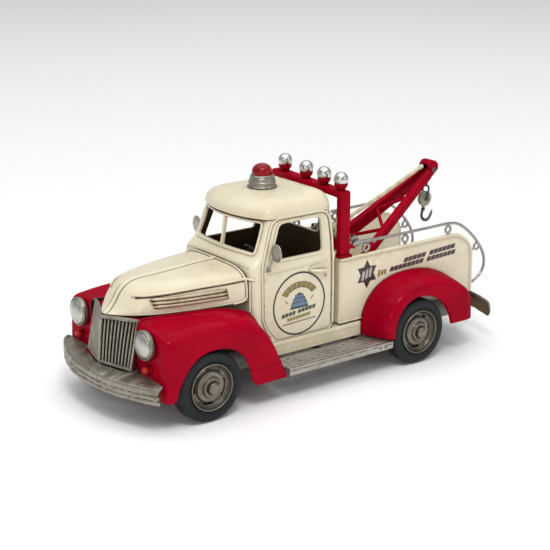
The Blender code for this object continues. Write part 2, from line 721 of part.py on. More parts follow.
DOOR_FRONT_LOW, DOOR_REAR = 32.6, -24.4
DOOR_OUTLINE = [(22.0, 35.6), (29.0, 44.0), (32.6, 52.0), (32.6, 86.0), (31.4, 92.0), (23.4, 114.6), (21.0, 117.2), (17.0, 118.2), (-17.0, 118.2), (-21.6, 117.0), (-23.6, 113.0), (-24.6, 100.0), (-24.6, 38.0), (-22.4, 35.6)]
WINDOW_OUTLINE = [(25.2, 92.0), (26.0, 94.0), (18.4, 113.4), (16.4, 115.4), (12.0, 115.8), (-13.6, 115.8), (-16.4, 114.8), (-17.2, 112.0), (-17.2, 93.4), (-16.0, 92.0)]
REAR_WINDOW = [(-24.0, 101.8), (-24.0, 111.0), (-22.0, 113.0), (22.0, 113.0), (24.0, 111.0), (24.0, 101.8), (22.0, 100.0), (-22.0, 100.0)]


def grown(outline, by):
    """An outline with every edge moved outwards by `by`."""
    pts = np.array(outline, float)
    area = 0.5 * np.sum(pts[:, 0] * np.roll(pts[:, 1], -1) - np.roll(pts[:, 0], -1) * pts[:, 1])
    sign = 1 if area > 0 else -1
    result = []
    for i in range(len(pts)):
        before, here, after = pts[i - 1], pts[i], pts[(i + 1) % len(pts)]
        d0, d1 = here - before, after - here
        n0 = np.array([d0[1], -d0[0]]) / np.linalg.norm(d0) * sign
        n1 = np.array([d1[1], -d1[0]]) / np.linalg.norm(d1) * sign
        mid = n0 + n1
        result.append(tuple(here + mid * by / max(0.4, 1 + float(n0 @ n1))))
    return result


def make_cab():
    levels = [34.6, 60.0, 84.0, 88.0, 92.5, 96.0, 108.0, 118.0, 119.6]
    cab = build("cab_shell", cab_block(levels), "cream_paint", (8, 0, 76), 40)
    inner_levels = [36.2, 60.0, 84.0, 88.0, 92.5, 96.0, 108.0, 118.0, 119.6]
    inner = cab_block(inner_levels, 1.5)
    top = max(p[2] for p in inner[0])
    inner = ([(x, y, z + (3.0 if z == top else 0.0)) for x, y, z in inner[0]], inner[1])
    cutters = [build("inside", inner, "cream_paint")]
    opening = grown(DOOR_OUTLINE, 0.45)
    for side in (1, -1):
        low, high = (30.0, 50.0) if side > 0 else (-50.0, -30.0)
        cutters.append(build("door_cut", prism(opening, "y", low, high), "cream_paint"))
    for side in (1, -1):
        pane = [(side * 33.0, 97.4), (side * 31.6, 116.6), (side * 0.9, 116.6), (side * 0.9, 97.4)]
        cutters.append(build("screen_cut", prism(pane, "x", 20.0, 60.0), "cream_paint"))
    cutters.append(build("rear_cut", prism(REAR_WINDOW, "x", -40.0, -20.0), "cream_paint"))
    boolean(cab, cutters, "DIFFERENCE", 40)
    make_doors(levels)
    make_roof()
    wheel = (22.6, 17.0, 90.6)
    lean = math.radians(38.0)
    up = Vector((math.sin(lean), 0.0, math.cos(lean)))
    side_way = Vector((0.0, 1.0, 0.0))
    axis = Vector((math.cos(lean), 0.0, -math.sin(lean)))
    hub = Vector(wheel)
    ring = [tuple(hub + (up * math.cos(a) + side_way * math.sin(a)) * 9.2) for a in (2 * math.pi * k / 20 for k in range(20))]
    steering = build("steering_wheel", tube(ring, 0.9, 6, closed=True), "bakelite", wheel, 60)
    spokes = []
    for k in range(3):
        a = 2 * math.pi * (k / 3) + math.pi / 2
        way = up * math.cos(a) + side_way * math.sin(a)
        spokes.append(build("spoke", tube([tuple(hub - axis * 0.2 + way * 0.5), tuple(hub + way * 9.2)], 0.6, 6), "bakelite"))
    spokes.append(build("shaft", tube([tuple(hub - axis * 1.6), tuple(hub + axis * 20.0)], 1.5, 8), "bakelite"))
    boolean(steering, spokes, "UNION", 50)


def make_doors(levels):
    for side, label in ((1, "left"), (-1, "right")):
        low, high = (34.0, 50.0) if side > 0 else (-50.0, -34.0)
        hinge = (32.0, side * 40.6, 75.0)
        door = build(f"door_{label}", prism(DOOR_OUTLINE, "y", low, high), "cream_paint", hinge, 35)
        skin = build("skin", cab_block([30.0] + levels[1:-1] + [124.0]), "cream_paint")
        boolean(door, [skin], "INTERSECT", 35)
        window = build("window", prism(WINDOW_OUTLINE, "y", *((30.0, 55.0) if side > 0 else (-55.0, -30.0))), "cream_paint")
        inside = cab_block([30.0] + levels[1:-1] + [124.0], 1.5)
        hollow = build("hollow", inside, "cream_paint")
        boolean(door, [window, hollow], "DIFFERENCE", 35)
        grip_y = 41.05 + 1.9
        grip = [(-8.4, 79.4), (-9.4, 80.2), (-20.6, 77.8), (-21.4, 76.6), (-20.8, 75.6), (-10.0, 77.6)]
        grip = [(-6.0, 41.5, 79.6), (-7.0, 43.4, 79.9), (-10.0, 44.2, 79.7), (-15.0, 44.2, 79.0), (-18.6, 43.9, 78.4), (-20.0, 42.9, 78.0), (-20.2, 41.5, 77.8)]
        handle = tube(grip, [1.1, 1.3, 1.35, 1.35, 1.3, 1.3, 1.1], 8)
        build(f"door_handle_{label}", handle if side > 0 else mirrored(handle), "cream_paint", (-13, side * 42.5, 79), 60)
        centre = (27.0, side * 47.2, 99.4)
        disc = lathe([(0.0, -0.9), (4.6, -0.9), (5.3, -0.3), (5.3, 0.3), (4.6, 0.8), (0.0, 1.3)], "x", centre, 16)
        mirror = build(f"mirror_{label}", disc, "lens_silver", (30.6, side * 41.6, 87.0), 50)
        stem = [(27.4, 45.4, 97.6), (28.6, 43.6, 94.0), (30.0, 42.4, 90.0), (30.8, 42.1, 86.6)]
        stem = tube(curve_through(stem, 7), 0.9, 8)
        boolean(mirror, [build("stem", stem if side > 0 else mirrored(stem), "lens_silver")], "UNION", 50)


def roof_grid_loops():
    """Loops of the roof, from its lower edge up to a small loop at the crown."""
    loops = []
    centre = np.array([1.6, 0.0])
    for k in range(7):
        t = math.pi / 2 * k / 6
        shrink = math.cos(t) ** (2 / 4.4)
        rise = math.sin(t) ** (2 / 2.5)
        loops.append((shrink, rise))
    return centre, loops


def roof_lean(x):
    """How far the crown climbs towards the rear edge and drops towards the windscreen."""
    if x < -11.0:
        return 3.8 * min(1.0, (-11.0 - x) / 17.0) ** 1.15
    if x > 15.0:
        return -2.0 * min(1.0, (x - 15.0) / 19.0) ** 1.3
    return 0.0


def roof_outline(grow):
    """The roof's plan: square at the back, rounded forward over the windscreen."""
    side, back, nose, edge = 37.6 + grow, -29.0 - grow, 36.6 + grow, 28.4 + grow
    half = []
    for t in (0.0, 0.25, 0.5, 0.75, 0.92):
        y = (side - 4.0) * t
        half.append((nose + (edge - nose) * t**2.4, y))
    for k in range(1, 6):
        turn = math.pi / 2 * k / 5
        half.append((edge - 5.0 + 5.0 * math.cos(turn), side - 4.0 + 4.0 * math.sin(turn)))
    half += [(12.0, side), (-8.0, side), (-20.0, side - 0.2)]
    for k in range(1, 6):
        turn = math.pi / 2 * k / 5
        half.append((back + 6.0 - 6.0 * math.sin(turn), side - 6.2 + 6.0 * math.cos(turn)))
    half += [(back, 20.0), (back, 0.0)]
    right = [(x, -y) for x, y in half[1:-1][::-1]]
    return half + right


def make_roof():
    def skin(grow, base, top):
        outline = roof_outline(grow)
        loops = []
        centre, steps = roof_grid_loops()
        for shrink, rise in steps[:-1]:
            shrink = max(shrink, 0.02)
            loops.append(
                [
                    (centre[0] + (x - centre[0]) * shrink, y * shrink, base + (top - base + roof_lean(centre[0] + (x - centre[0]) * shrink)) * rise)
                    for x, y in outline
                ]
            )
        return loops
    outer = skin(0.0, 120.0, ROOF_TOP)
    inner = skin(-1.4, 120.0, ROOF_TOP - 1.4)
    count = len(outer[0])
    points, faces = [], []
    for loop in outer + inner:
        points += loop
    rows = len(outer)
    def add(first, second):
        for j in range(count):
            faces.append((first * count + j, first * count + (j + 1) % count, second * count + (j + 1) % count, second * count + j))
    for i in range(rows - 1):
        add(i, i + 1)
        add(rows + i, rows + i + 1)
    faces.append(tuple((rows - 1) * count + j for j in range(count)))
    faces.append(tuple((2 * rows - 1) * count + j for j in range(count)))
    add(0, rows)
    build("cab_roof", (points, faces), "cream_paint", (4, 0, 126), 50)


def make_beacon():
    x = 4.2
    base = [(0.0, 132.9), (9.9, 132.9), (9.9, 133.8), (8.9, 134.4), (8.5, 136.4), (8.9, 136.9), (8.7, 137.7), (8.0, 138.0), (7.7, 140.6), (7.0, 141.4), (0.0, 141.4)]
    build("beacon_base", lathe(base, "z", (x, 0, 0), 22), "pewter", (x, 0, 133.0), 40)
    dome = [(0.0, 141.75), (6.4, 141.75), (6.5, 143.6)]
    for k in range(1, 6):
        turn = math.pi / 2 * k / 5
        dome.append((6.5 * math.cos(turn) if k < 5 else 0.0, 143.6 + 5.9 * math.sin(turn)))
    build("beacon_dome", lathe(dome, "z", (x, 0, 0), 20), "red_lens", (x, 0, 142.0), 60)


# ------------------------------------------------------------------ bed and towing gear


def bed_edge(count=14):
    """The top and rear edge of a bed side, from its front corner to its lower rear corner."""
    edge = [(BED_FRONT - 0.9, BED_TOP), (-120.0, BED_TOP + 0.6)]
    for k in range(count):
        turn = math.pi / 2 * k / (count - 1)
        edge.append((-138.0 - 22.9 * math.sin(turn), BED_TOP + 0.8 - 19.0 + 19.0 * math.cos(turn)))
    edge.append((-160.9, 50.0))
    edge.append((-160.9, 36.0))
    return edge


def make_bed():
    edge = bed_edge(8)
    outline = edge + [(BED_FRONT - 0.9, 36.0)]
    floor = build("bed", box(BED_FRONT - 1.6, BED_REAR + 1.0, -BODY_Y + 0.6, BODY_Y - 0.6, BED_FLOOR - 1.2, BED_FLOOR), "cream_paint", (-97, 0, 60), 40)
    others = []
    for side in (1, -1):
        low, high = sorted((side * (BODY_Y - SHEET), side * BODY_Y))
        others.append(build("side", prism(outline, "y", low, high), "cream_paint"))
        roll = [(x, side * (BODY_Y - 0.4), z) for x, z in edge]
        others.append(build("roll", tube(roll, 1.3, 8), "cream_paint"))
    others.append(build("front", box(BED_FRONT - 2.0, BED_FRONT - 0.8, -BODY_Y + 0.5, BODY_Y - 0.5, 36.0, BED_TOP - 0.4), "cream_paint"))
    boolean(floor, others, "UNION", 40)


def bar_top(y):
    """The top of the lamp bar, which stands a little higher on the right than on the left."""
    return 131.9 - 0.036 * y


def make_light_bar():
    half, foot = 40.0, 84.2
    wide = 5.2
    outline = [
        (half, foot), (half, bar_top(half) - 1.0), (half - 1.0, bar_top(half)), (1.0 - half, bar_top(-half)),
        (-half, bar_top(-half) - 1.0), (-half, foot), (wide - half, foot), (wide - half, bar_top(-half) - 4.6),
        (half - wide, bar_top(half) - 4.6), (half - wide, foot),
    ]
    bar = build("light_bar", prism(outline, "x", BAR_X - 4.2, BAR_X + 4.2), "red_paint", (BAR_X, 0, 128), 35)
    studs = []
    for y in LAMP_YS:
        cup = [(0.0, -1.4), (2.6, -1.4), (2.9, 0.4), (4.0, 2.4), (3.6, 3.6), (0.0, 2.8)]
        studs.append(build("stud", lathe(cup, "z", (BAR_X, y, bar_top(y)), 12), "red_paint"))
    for side in (1, -1):
        peg = tube([(BAR_X - 3.6, side * 38.4, 89.6), (BAR_X - 7.4, side * 38.9, 90.6)], 1.5, 8)
        studs.append(build("peg", peg, "red_paint"))
    boolean(bar, studs, "UNION", 40)
    for number, y in enumerate(LAMP_YS[::-1]):
        ball = []
        radius = 4.6
        centre = bar_top(y) + 2.8 + GAP + radius
        for k in range(9):
            turn = math.pi * k / 8
            r = radius * math.sin(turn)
            ball.append((0.0 if k in (0, 8) else r, centre - radius * math.cos(turn)))
        build(f"roof_lamp_{number + 1}", lathe(ball, "z", (BAR_X, y, 0), 16), "chrome", (BAR_X, y, centre), 70)


def make_rails():
    for side, label in ((1, "left"), (-1, "right")):
        y = side * 40.0
        path = [(-46.2, RAIL_Z - 0.6), (-52.0, RAIL_Z), (-80.0, RAIL_Z + 0.1), (-110.0, RAIL_Z + 0.2), (-137.0, RAIL_Z + 0.2), (-148.2, 89.4), (-159.2, 81.4), (-168.2, 71.8), (-173.6, 63.2), (-175.0, 55.0), (-172.4, 48.6), (-166.8, 44.2), (-163.4, 43.0)]
        path = curve_through([(x, y, z) for x, z in path], 22)
        rail = build(f"rail_{label}", tube(path, 1.1, 6), "chrome", (-110, y, 90), 60)
        rings = []
        for x, z in ((-56.9, 87.7), (-93.9, 87.8), (-136.2, 87.8), (-166.3, 70.0)):
            profile = [(1.6, -0.8), (3.4, -0.7), (3.4, 0.7), (1.6, 0.8)]
            rings.append(build("ring", lathe(profile, "y", (x, y, z), 12, ring=True), "chrome"))
        boolean(rail, rings, "UNION", 60)


def make_boom():
    """Two folded arms that close from the front corners of the bed to a head above its back."""
    foot = np.array([-40.6, 30.2, 50.2])
    head = np.array([-155.0, 5.6, 122.7])
    along = (head - foot) / np.linalg.norm(head - foot)
    over = np.array([0.0, 1.0, 0.0])
    up = np.cross(along, over)
    up /= np.linalg.norm(up)
    if up[2] < 0:
        up = -up
    lid, lip, web, thin = 5.2, 4.8, 8.6, 1.3
    section = [(0.0, 0.0), (0.0, lip), (-lid, lip), (-lid, lip - web), (-lid + thin, lip - web), (-lid + thin, lip - thin), (-thin, lip - thin), (-thin, 0.0)]
    loops = []
    for t in (0.0, 1.0):
        base = foot + (head - foot) * t
        loops.append([tuple(base + over * a + up * b) for a, b in section])
    boom = build("boom", loft(loops), "red_paint", (-100, 0, 85), 35)
    parts = [build("arm", mirrored(loft(loops)), "red_paint")]

    def on_arm(t, side, inset, lift):
        base = foot + (head - foot) * t + over * -inset + up * lift
        return (base[0], base[1] * side, base[2])

    rods = [(0.20, 1, 0.36, -1), (0.36, -1, 0.50, 1), (0.50, 1, 0.62, -1), (0.62, -1, 0.76, 1), (0.20, 1, 0.20, -1)]
    for t0, s0, t1, s1 in rods:
        a, b = np.array(on_arm(t0, s0, 5.0, 2.6)), np.array(on_arm(t1, s1, 5.0, 2.6))
        parts.append(build("rod", tube([tuple(a), tuple(b)], 1.3, 8), "red_paint"))
    cap = []
    for k in range(8):
        turn = 2 * math.pi * (k + 0.5) / 8
        cap.append((-152.2 + 5.9 * math.cos(turn), 127.0 + 5.7 * math.sin(turn)))
    parts.append(build("cap", prism(cap, "y", -5.6, 5.6), "red_paint"))
    for side in (1, -1):
        pad = box(-46.0, -36.8, *sorted((side * 22.0, side * 31.2)), BED_FLOOR + 0.3, BED_FLOOR + 6.2)
        parts.append(build("pad", pad, "red_paint"))
    boolean(boom, parts, "UNION", 35)
    slot = build("slot", box(-165.0, -137.0, -2.5, 2.5, 100.0, 128.2), "red_paint")
    boolean(boom, [slot], "DIFFERENCE", 35)
    pin = build("pin", tube([(HEAD_PIN[0], -4.4, HEAD_PIN[1]), (HEAD_PIN[0], 4.4, HEAD_PIN[1])], 1.0, 10), "red_paint")
    boolean(boom, [pin], "UNION", 35)


def make_winch():
    x, z = WINCH
    outer = [(-17.6, BED_FLOOR + 0.3), (-17.6, z + 5.0), (-16.2, z + 5.0), (-16.2, BED_FLOOR + 1.6), (16.2, BED_FLOOR + 1.6), (16.2, z + 5.0), (17.6, z + 5.0), (17.6, BED_FLOOR + 0.3)]
    frame = build("winch_frame", prism(outer, "x", x - 2.7, x + 4.6), "brown_wash", (x, 0, 60), 35)
    bore = lathe([(0.0, -30.0), (1.6, -30.0), (1.6, 30.0), (0.0, 30.0)], "y", (x, 0, z), 16)
    boolean(frame, [build("bore", bore, "brown_wash")], "DIFFERENCE", 35)
    drum = [(0.0, -20.4), (1.2, -20.4), (1.2, -15.6), (5.8, -15.6), (5.8, -14.4), (2.2, -14.4), (2.2, 14.4), (5.8, 14.4), (5.8, 15.6), (1.2, 15.6), (1.2, 30.2), (0.0, 30.2)]
    spool = build("winch_drum", lathe(drum, "y", (x, 0, z), 16), "pewter", (x, 0, z), 40)
    star = []
    for k in range(16):
        turn = 2 * math.pi * k / 16
        r = 5.2 if k % 2 == 0 else 3.3
        star.append((x + r * math.cos(turn), z + r * math.sin(turn)))
    parts = [build("star", prism(star, "y", 25.2, 27.2), "pewter")]
    lever = [(x + 1.8, z - 1.6), (x + 1.8, z + 1.6), (x - 2.0, z + 1.7), (x - 12.6, z + 1.3), (x - 13.6, z + 0.3), (x - 12.8, z - 0.6), (x - 2.0, z - 1.7)]
    parts.append(build("lever", prism(lever, "y", 28.2, 29.6), "pewter"))
    boolean(spool, parts, "UNION", 35)


def rope_path():
    """The rope's middle line: three turns on the drum, then straight up over the boom to its head."""
    x, z = WINCH
    reach = 2.2 + GAP + ROPE_R
    turns, per = 3, 12
    path = []
    lean = math.radians(67.0)
    for k in range(turns * per + 1):
        share = k / (turns * per)
        angle = lean + 2 * math.pi * turns * (1 - share)
        path.append((x + reach * math.cos(angle), -10.2 + 10.2 * share, z + reach * math.sin(angle)))
    end = (-145.4, 0.0, 127.2)
    last = path[-1]
    for k in range(1, 13):
        t = k / 12
        sag = -1.2 * math.sin(math.pi * t)
        path.append(tuple(last[a] + (end[a] - last[a]) * t + (sag if a == 2 else 0.0) for a in range(3)))
    return path


def make_rope():
    line = bpy.data.curves.new("tow_rope", "CURVE")
    line.dimensions = "3D"
    line.bevel_depth = ROPE_R * MM
    line.bevel_resolution = 2
    line.use_fill_caps = True
    path = rope_path()
    spline = line.splines.new("POLY")
    spline.points.add(len(path) - 1)
    origin = path[-1]
    for point, place in zip(spline.points, path):
        point.co = (*((place[a] - origin[a]) * MM for a in range(3)), 1.0)
    rope = bpy.data.objects.new("tow_rope", line)
    rope.location = ((origin[0] + SHIFT_X) * MM, origin[1] * MM, origin[2] * MM)
    bpy.context.scene.collection.objects.link(rope)
    line.materials.append(material("rope_fibre"))


def make_hook():
    pin, low = np.array([HEAD_PIN[0], 0.0, HEAD_PIN[1]]), np.array([BLOCK_PIN[0], 0.0, BLOCK_PIN[1]])
    down = (low - pin) / np.linalg.norm(low - pin)
    eye = [(pin[0] + 2.2 * math.cos(a), 0.0, pin[2] + 2.2 * math.sin(a)) for a in (2 * math.pi * k / 14 for k in range(14))]
    hanger = build("hook_hanger", tube(eye, 0.75, 6, closed=True), "red_paint", tuple(pin), 60)
    stem = tube([tuple(pin + down * 2.0), tuple(pin + down * 13.2)], 1.0, 8)
    fork = [
        build("stem", stem, "red_paint"),
        build("bridge", tube([(pin + down * 13.0 + np.array([0, -3.3, 0])), (pin + down * 13.0 + np.array([0, 3.3, 0]))], 0.9, 8), "red_paint"),
    ]
    for side in (1, -1):
        tine = [tuple(pin + down * 12.6 + np.array([0, side * 2.9, 0])), tuple(low + down * 1.2 + np.array([0, side * 2.9, 0]))]
        fork.append(build("tine", tube(tine, 0.7, 8), "red_paint"))
    boolean(hanger, fork, "UNION", 60)
    disc = [(0.0, -1.9), (4.6, -1.9), (5.7, -1.3), (5.7, 1.3), (4.6, 1.9), (0.0, 1.9)]
    block = build("hook_block", lathe(disc, "y", tuple(low), 24), "block_grey", tuple(low), 40)
    tail = tube([tuple(low + down * 4.6), tuple(low + down * 7.2)], 1.5, 10)
    boolean(block, [build("tail", tail, "block_grey")], "UNION", 40)
    start = low + down * 7.5
    side_way = np.array([-down[2], 0.0, down[0]])
    if side_way[0] > 0:
        side_way = -side_way
    route = []
    for along, across in ((0.0, 0.0), (2.4, -0.5), (4.8, -0.8), (7.0, -0.2), (8.7, 1.6), (9.3, 4.0), (8.6, 6.4), (6.6, 8.0), (4.0, 8.9), (1.2, 9.6)):
        route.append(tuple(start + down * along + side_way * across))
    hook = build("tow_hook", tube(curve_through(route, 20), 1.0, 8), "dark_steel", tuple(start), 60)


def main():
    start()
    make_running_gear()
    make_hood()
    make_nose()
    make_bumpers()
    make_front_lights()
    make_fenders()
    make_running_boards()
    make_sills()
    make_cab()
    make_beacon()
    make_bed()
    make_light_bar()
    make_rails()
    make_boom()
    make_winch()
    make_rope()
    make_hook()
    for mesh in list(bpy.data.meshes):
        if not mesh.users:
            bpy.data.meshes.remove(mesh)


main()
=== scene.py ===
"""The looks of the toy tow truck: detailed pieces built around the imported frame.

Lengths are in design millimetres, as in the CAD source, with X measured from the middle of the
wheelbase. `place` turns them into the frame's metres.
"""

import math

import bmesh
import bpy
import numpy as np
from mathutils import Matrix, Vector, noise


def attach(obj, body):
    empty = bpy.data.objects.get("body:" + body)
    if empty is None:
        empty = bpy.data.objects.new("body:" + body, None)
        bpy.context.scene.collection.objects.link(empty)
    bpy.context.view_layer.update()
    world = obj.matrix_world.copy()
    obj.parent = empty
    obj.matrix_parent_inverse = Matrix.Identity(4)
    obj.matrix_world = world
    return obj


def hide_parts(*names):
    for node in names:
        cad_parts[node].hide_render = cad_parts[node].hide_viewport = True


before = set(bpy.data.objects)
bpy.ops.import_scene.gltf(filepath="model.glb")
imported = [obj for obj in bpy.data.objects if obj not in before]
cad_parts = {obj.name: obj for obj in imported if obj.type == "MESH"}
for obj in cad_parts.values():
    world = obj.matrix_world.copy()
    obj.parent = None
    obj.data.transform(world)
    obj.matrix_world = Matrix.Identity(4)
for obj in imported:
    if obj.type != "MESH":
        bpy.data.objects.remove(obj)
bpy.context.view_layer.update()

MM = 0.001
GAP = 0.3  # clearance between pieces that touch on the real toy
SHEET = 1.2  # thickness of the pressed sheet
SHIFT_X = 14.5  # from the middle of the wheelbase to the middle of the whole length
AXLE_X = 90.0  # each axle is this far from the middle of the wheelbase
WHEEL_R = 24.0
TYRE_IN, TYRE_OUT = 48.6, 62.6
RIM_R = 16.0
AXLE_R = 1.6
AXLE_END = 62.9
BODY_Y = 40.5  # half width of cab and bed
FENDER_Y = 63.2  # half width over the fenders
CAB_FRONT, CAB_REAR = 43.8, -28.4
FLOOR_Z = 34.6
BELT_Z = 88.0
CAB_TOP = 119.6
ROOF_TOP = 132.6
BED_FRONT, BED_REAR = -32.0, -161.5
BED_TOP = 82.2
BED_FLOOR = 45.0
RAIL_Z = 92.0
BAR_X = -38.0
WINCH = (-57.6, 88.4)
HEAD_PIN = (-152.2, 124.2)
BLOCK_PIN = (-149.0, 101.5)
ROPE_R = 1.45
LAMP_YS = (-29.1, -4.4, 15.8, 34.4)


# ------------------------------------------------------------------ the shared shapes of the body

HOOD_WIDTH = [(44.0, 38.6), (60.0, 37.4), (80.0, 34.0), (96.0, 30.4), (106.0, 27.4), (113.0, 24.6), (119.0, 20.8), (124.0, 15.6), (128.0, 10.2), (131.0, 5.2), (133.0, 0.5)]
HOOD_TOP = [(44.0, 88.7), (62.0, 88.4), (76.0, 87.5), (92.0, 86.7), (104.0, 86.3), (111.0, 85.5), (116.5, 83.4), (121.0, 79.2), (124.6, 73.6), (128.4, 69.2), (131.6, 67.1), (133.0, 66.6)]
HOOD_BASE = [(44.0, 67.6), (116.0, 67.6), (122.0, 67.3), (128.0, 66.8), (133.0, 66.5)]
HOOD_FULLNESS = [(44.0, 4.2), (70.0, 4.0), (92.0, 3.6), (104.0, 2.8), (114.0, 2.1), (122.0, 1.7), (133.0, 1.5)]
GRILLE_TOP = [(0.0, 133.5), (26.0, 122.7)]
GRILLE_LOW = [(0.0, 136.6), (26.0, 129.6)]
FF_LIP = [(118.8, 20.4), (116.2, 27.0), (112.4, 34.6), (107.0, 42.0), (99.6, 47.4), (91.0, 49.8), (80.6, 49.4), (72.2, 46.6), (65.8, 41.6), (61.6, 35.2), (59.4, 29.0), (57.4, 21.4), (53.4, 17.4)]
FF_EDGE = [(124.6, 20.4), (124.8, 30.0), (124.9, 42.0), (124.6, 52.0), (123.4, 60.2), (116.0, 63.2), (100.0, 65.2), (84.0, 66.0), (70.0, 64.6), (56.6, 60.2), (46.6, 52.0), (37.0, 39.0), (28.8, 17.4)]
FF_BODY = [(124.6, 30.0, 20.4), (124.8, 29.9, 30.0), (124.9, 29.8, 42.0), (124.8, 29.6, 52.0), (124.2, 29.8, 65.6), (116.0, 26.9, 66.5), (107.0, 29.4, 66.9), (96.0, 32.4, 67.0), (84.0, 34.9, 67.0), (70.0, 37.4, 66.4), (57.0, 41.0, 64.2), (45.0, 41.6, 58.6), (35.0, 41.8, 42.0), (29.4, 42.4, 17.4)]
RF_LIP = [(-65.6, 24.2), (-66.4, 32.0), (-69.6, 40.0), (-76.0, 47.0), (-84.4, 50.8), (-94.0, 51.2), (-103.4, 48.4), (-111.0, 43.0), (-116.4, 36.0), (-119.4, 30.0), (-121.2, 24.2)]
RF_EDGE = [(-61.6, 24.2), (-61.4, 33.0), (-64.4, 43.4), (-72.0, 53.0), (-83.0, 58.6), (-96.0, 60.2), (-110.0, 59.2), (-123.0, 55.0), (-134.6, 48.4), (-142.8, 40.8), (-144.2, 24.2)]
RF_BODY = [(-53.4, 24.2), (-53.6, 35.0), (-58.0, 47.0), (-68.0, 57.0), (-81.0, 62.0), (-96.0, 63.4), (-111.0, 62.2), (-125.0, 57.8), (-137.0, 50.8), (-144.6, 41.8), (-145.6, 24.2)]
CAB_SIDE = [(34.6, 40.6), (60.0, 41.0), (84.0, 40.7), (88.0, 40.4), (96.0, 39.8), (108.0, 38.6), (119.6, 37.4)]
CAB_NOSE = [(34.6, 43.8), (89.0, 43.8), (92.5, 42.0), (96.0, 39.2), (118.0, 35.2), (119.6, 34.9)]
CAB_CORNER = [(34.6, 43.0), (88.0, 43.0), (92.5, 38.8), (96.0, 35.6), (118.0, 27.0), (119.6, 26.6)]
CAB_BACK = [(34.6, -28.4), (100.0, -28.2), (119.6, -27.2)]
DOOR_FRONT_LOW, DOOR_REAR = 32.6, -24.4
DOOR_OUTLINE = [(22.0, 35.6), (29.0, 44.0), (32.6, 52.0), (32.6, 86.0), (31.4, 92.0), (23.4, 114.6), (21.0, 117.2), (17.0, 118.2), (-17.0, 118.2), (-21.6, 117.0), (-23.6, 113.0), (-24.6, 100.0), (-24.6, 38.0), (-22.4, 35.6)]
WINDOW_OUTLINE = [(25.2, 92.0), (26.0, 94.0), (18.4, 113.4), (16.4, 115.4), (12.0, 115.8), (-13.6, 115.8), (-16.4, 114.8), (-17.2, 112.0), (-17.2, 93.4), (-16.0, 92.0)]
REAR_WINDOW = [(-24.0, 101.8), (-24.0, 111.0), (-22.0, 113.0), (22.0, 113.0), (24.0, 111.0), (24.0, 101.8), (22.0, 100.0), (-22.0, 100.0)]


def box(x0, x1, y0, y1, z0, z1):
    points = [(x, y, z) for x in (x0, x1) for y in (y0, y1) for z in (z0, z1)]
    return points, [(0, 1, 3, 2), (4, 6, 7, 5), (0, 4, 5, 1), (2, 3, 7, 6), (0, 2, 6, 4), (1, 5, 7, 3)]


def loft(loops):
    """Closed loops of equal length joined one to the next, with a flat cap at each end."""
    count = len(loops[0])
    points = [p for loop in loops for p in loop]
    faces = []
    for i in range(len(loops) - 1):
        for j in range(count):
            a, b = i * count + j, i * count + (j + 1) % count
            faces.append((a, b, b + count, a + count))
    faces.append(tuple(range(count)))
    faces.append(tuple(range((len(loops) - 1) * count, len(loops) * count)))
    return points, faces


def prism(outline, axis, low, high):
    """A flat outline pushed along an axis. The outline holds (x, z) for "y", (y, z) for "x" and (x, y) for "z"."""
    put = {
        "x": lambda a, b, c: (c, a, b),
        "y": lambda a, b, c: (a, c, b),
        "z": lambda a, b, c: (a, b, c),
    }[axis]
    return loft([[put(a, b, level) for a, b in outline] for level in (low, high)])


def sheet(grid, thick):
    """A closed sheet from a grid of outer points, with `thick` taken off inwards (negative: outwards)."""
    rows, cols = len(grid), len(grid[0])
    outer = np.array(grid, float)
    along = np.gradient(outer, axis=0)
    across = np.gradient(outer, axis=1)
    normal = np.cross(along, across)
    length = np.linalg.norm(normal, axis=2, keepdims=True)
    normal = normal / np.maximum(length, 1e-9)
    inner = outer - normal * thick
    points = [tuple(p) for p in outer.reshape(-1, 3)] + [tuple(p) for p in inner.reshape(-1, 3)]
    half = rows * cols
    faces = []
    for i in range(rows - 1):
        for j in range(cols - 1):
            a = i * cols + j
            faces.append((a, a + 1, a + cols + 1, a + cols))
            faces.append((half + a, half + a + cols, half + a + cols + 1, half + a + 1))
    rim = [j for j in range(cols)]
    rim += [i * cols + cols - 1 for i in range(1, rows)]
    rim += [(rows - 1) * cols + j for j in range(cols - 2, -1, -1)]
    rim += [i * cols for i in range(rows - 2, 0, -1)]
    for k in range(len(rim)):
        a, b = rim[k], rim[(k + 1) % len(rim)]
        faces.append((a, half + a, half + b, b))
    return points, faces


def frames(path, closed):
    """Two directions across a path at each of its points, turned as little as possible."""
    pts = [Vector(p) for p in path]
    count = len(pts)
    tangents = []
    for i in range(count):
        if closed:
            step = pts[(i + 1) % count] - pts[i - 1]
        else:
            step = pts[min(i + 1, count - 1)] - pts[max(i - 1, 0)]
        tangents.append(step.normalized())
    side = tangents[0].orthogonal().normalized()
    result = []
    for i in range(count):
        side = (side - tangents[i] * side.dot(tangents[i])).normalized()
        result.append((side.copy(), tangents[i].cross(side).normalized()))
    return pts, result


def tube(path, radius, around=8, closed=False):
    pts, across = frames(path, closed)
    radii = radius if isinstance(radius, (list, tuple)) else [radius] * len(pts)
    points, faces = [], []
    for p, (u, v), r in zip(pts, across, radii):
        for k in range(around):
            turn = 2 * math.pi * k / around
            points.append(tuple(p + u * (r * math.cos(turn)) + v * (r * math.sin(turn))))
    count = len(pts)
    for i in range(count if closed else count - 1):
        for k in range(around):
            a, b = i * around + k, i * around + (k + 1) % around
            c, d = ((i + 1) % count) * around + (k + 1) % around, ((i + 1) % count) * around + k
            faces.append((a, b, c, d))
    if not closed:
        faces.append(tuple(range(around)))
        faces.append(tuple(range((count - 1) * around, count * around)))
    return points, faces


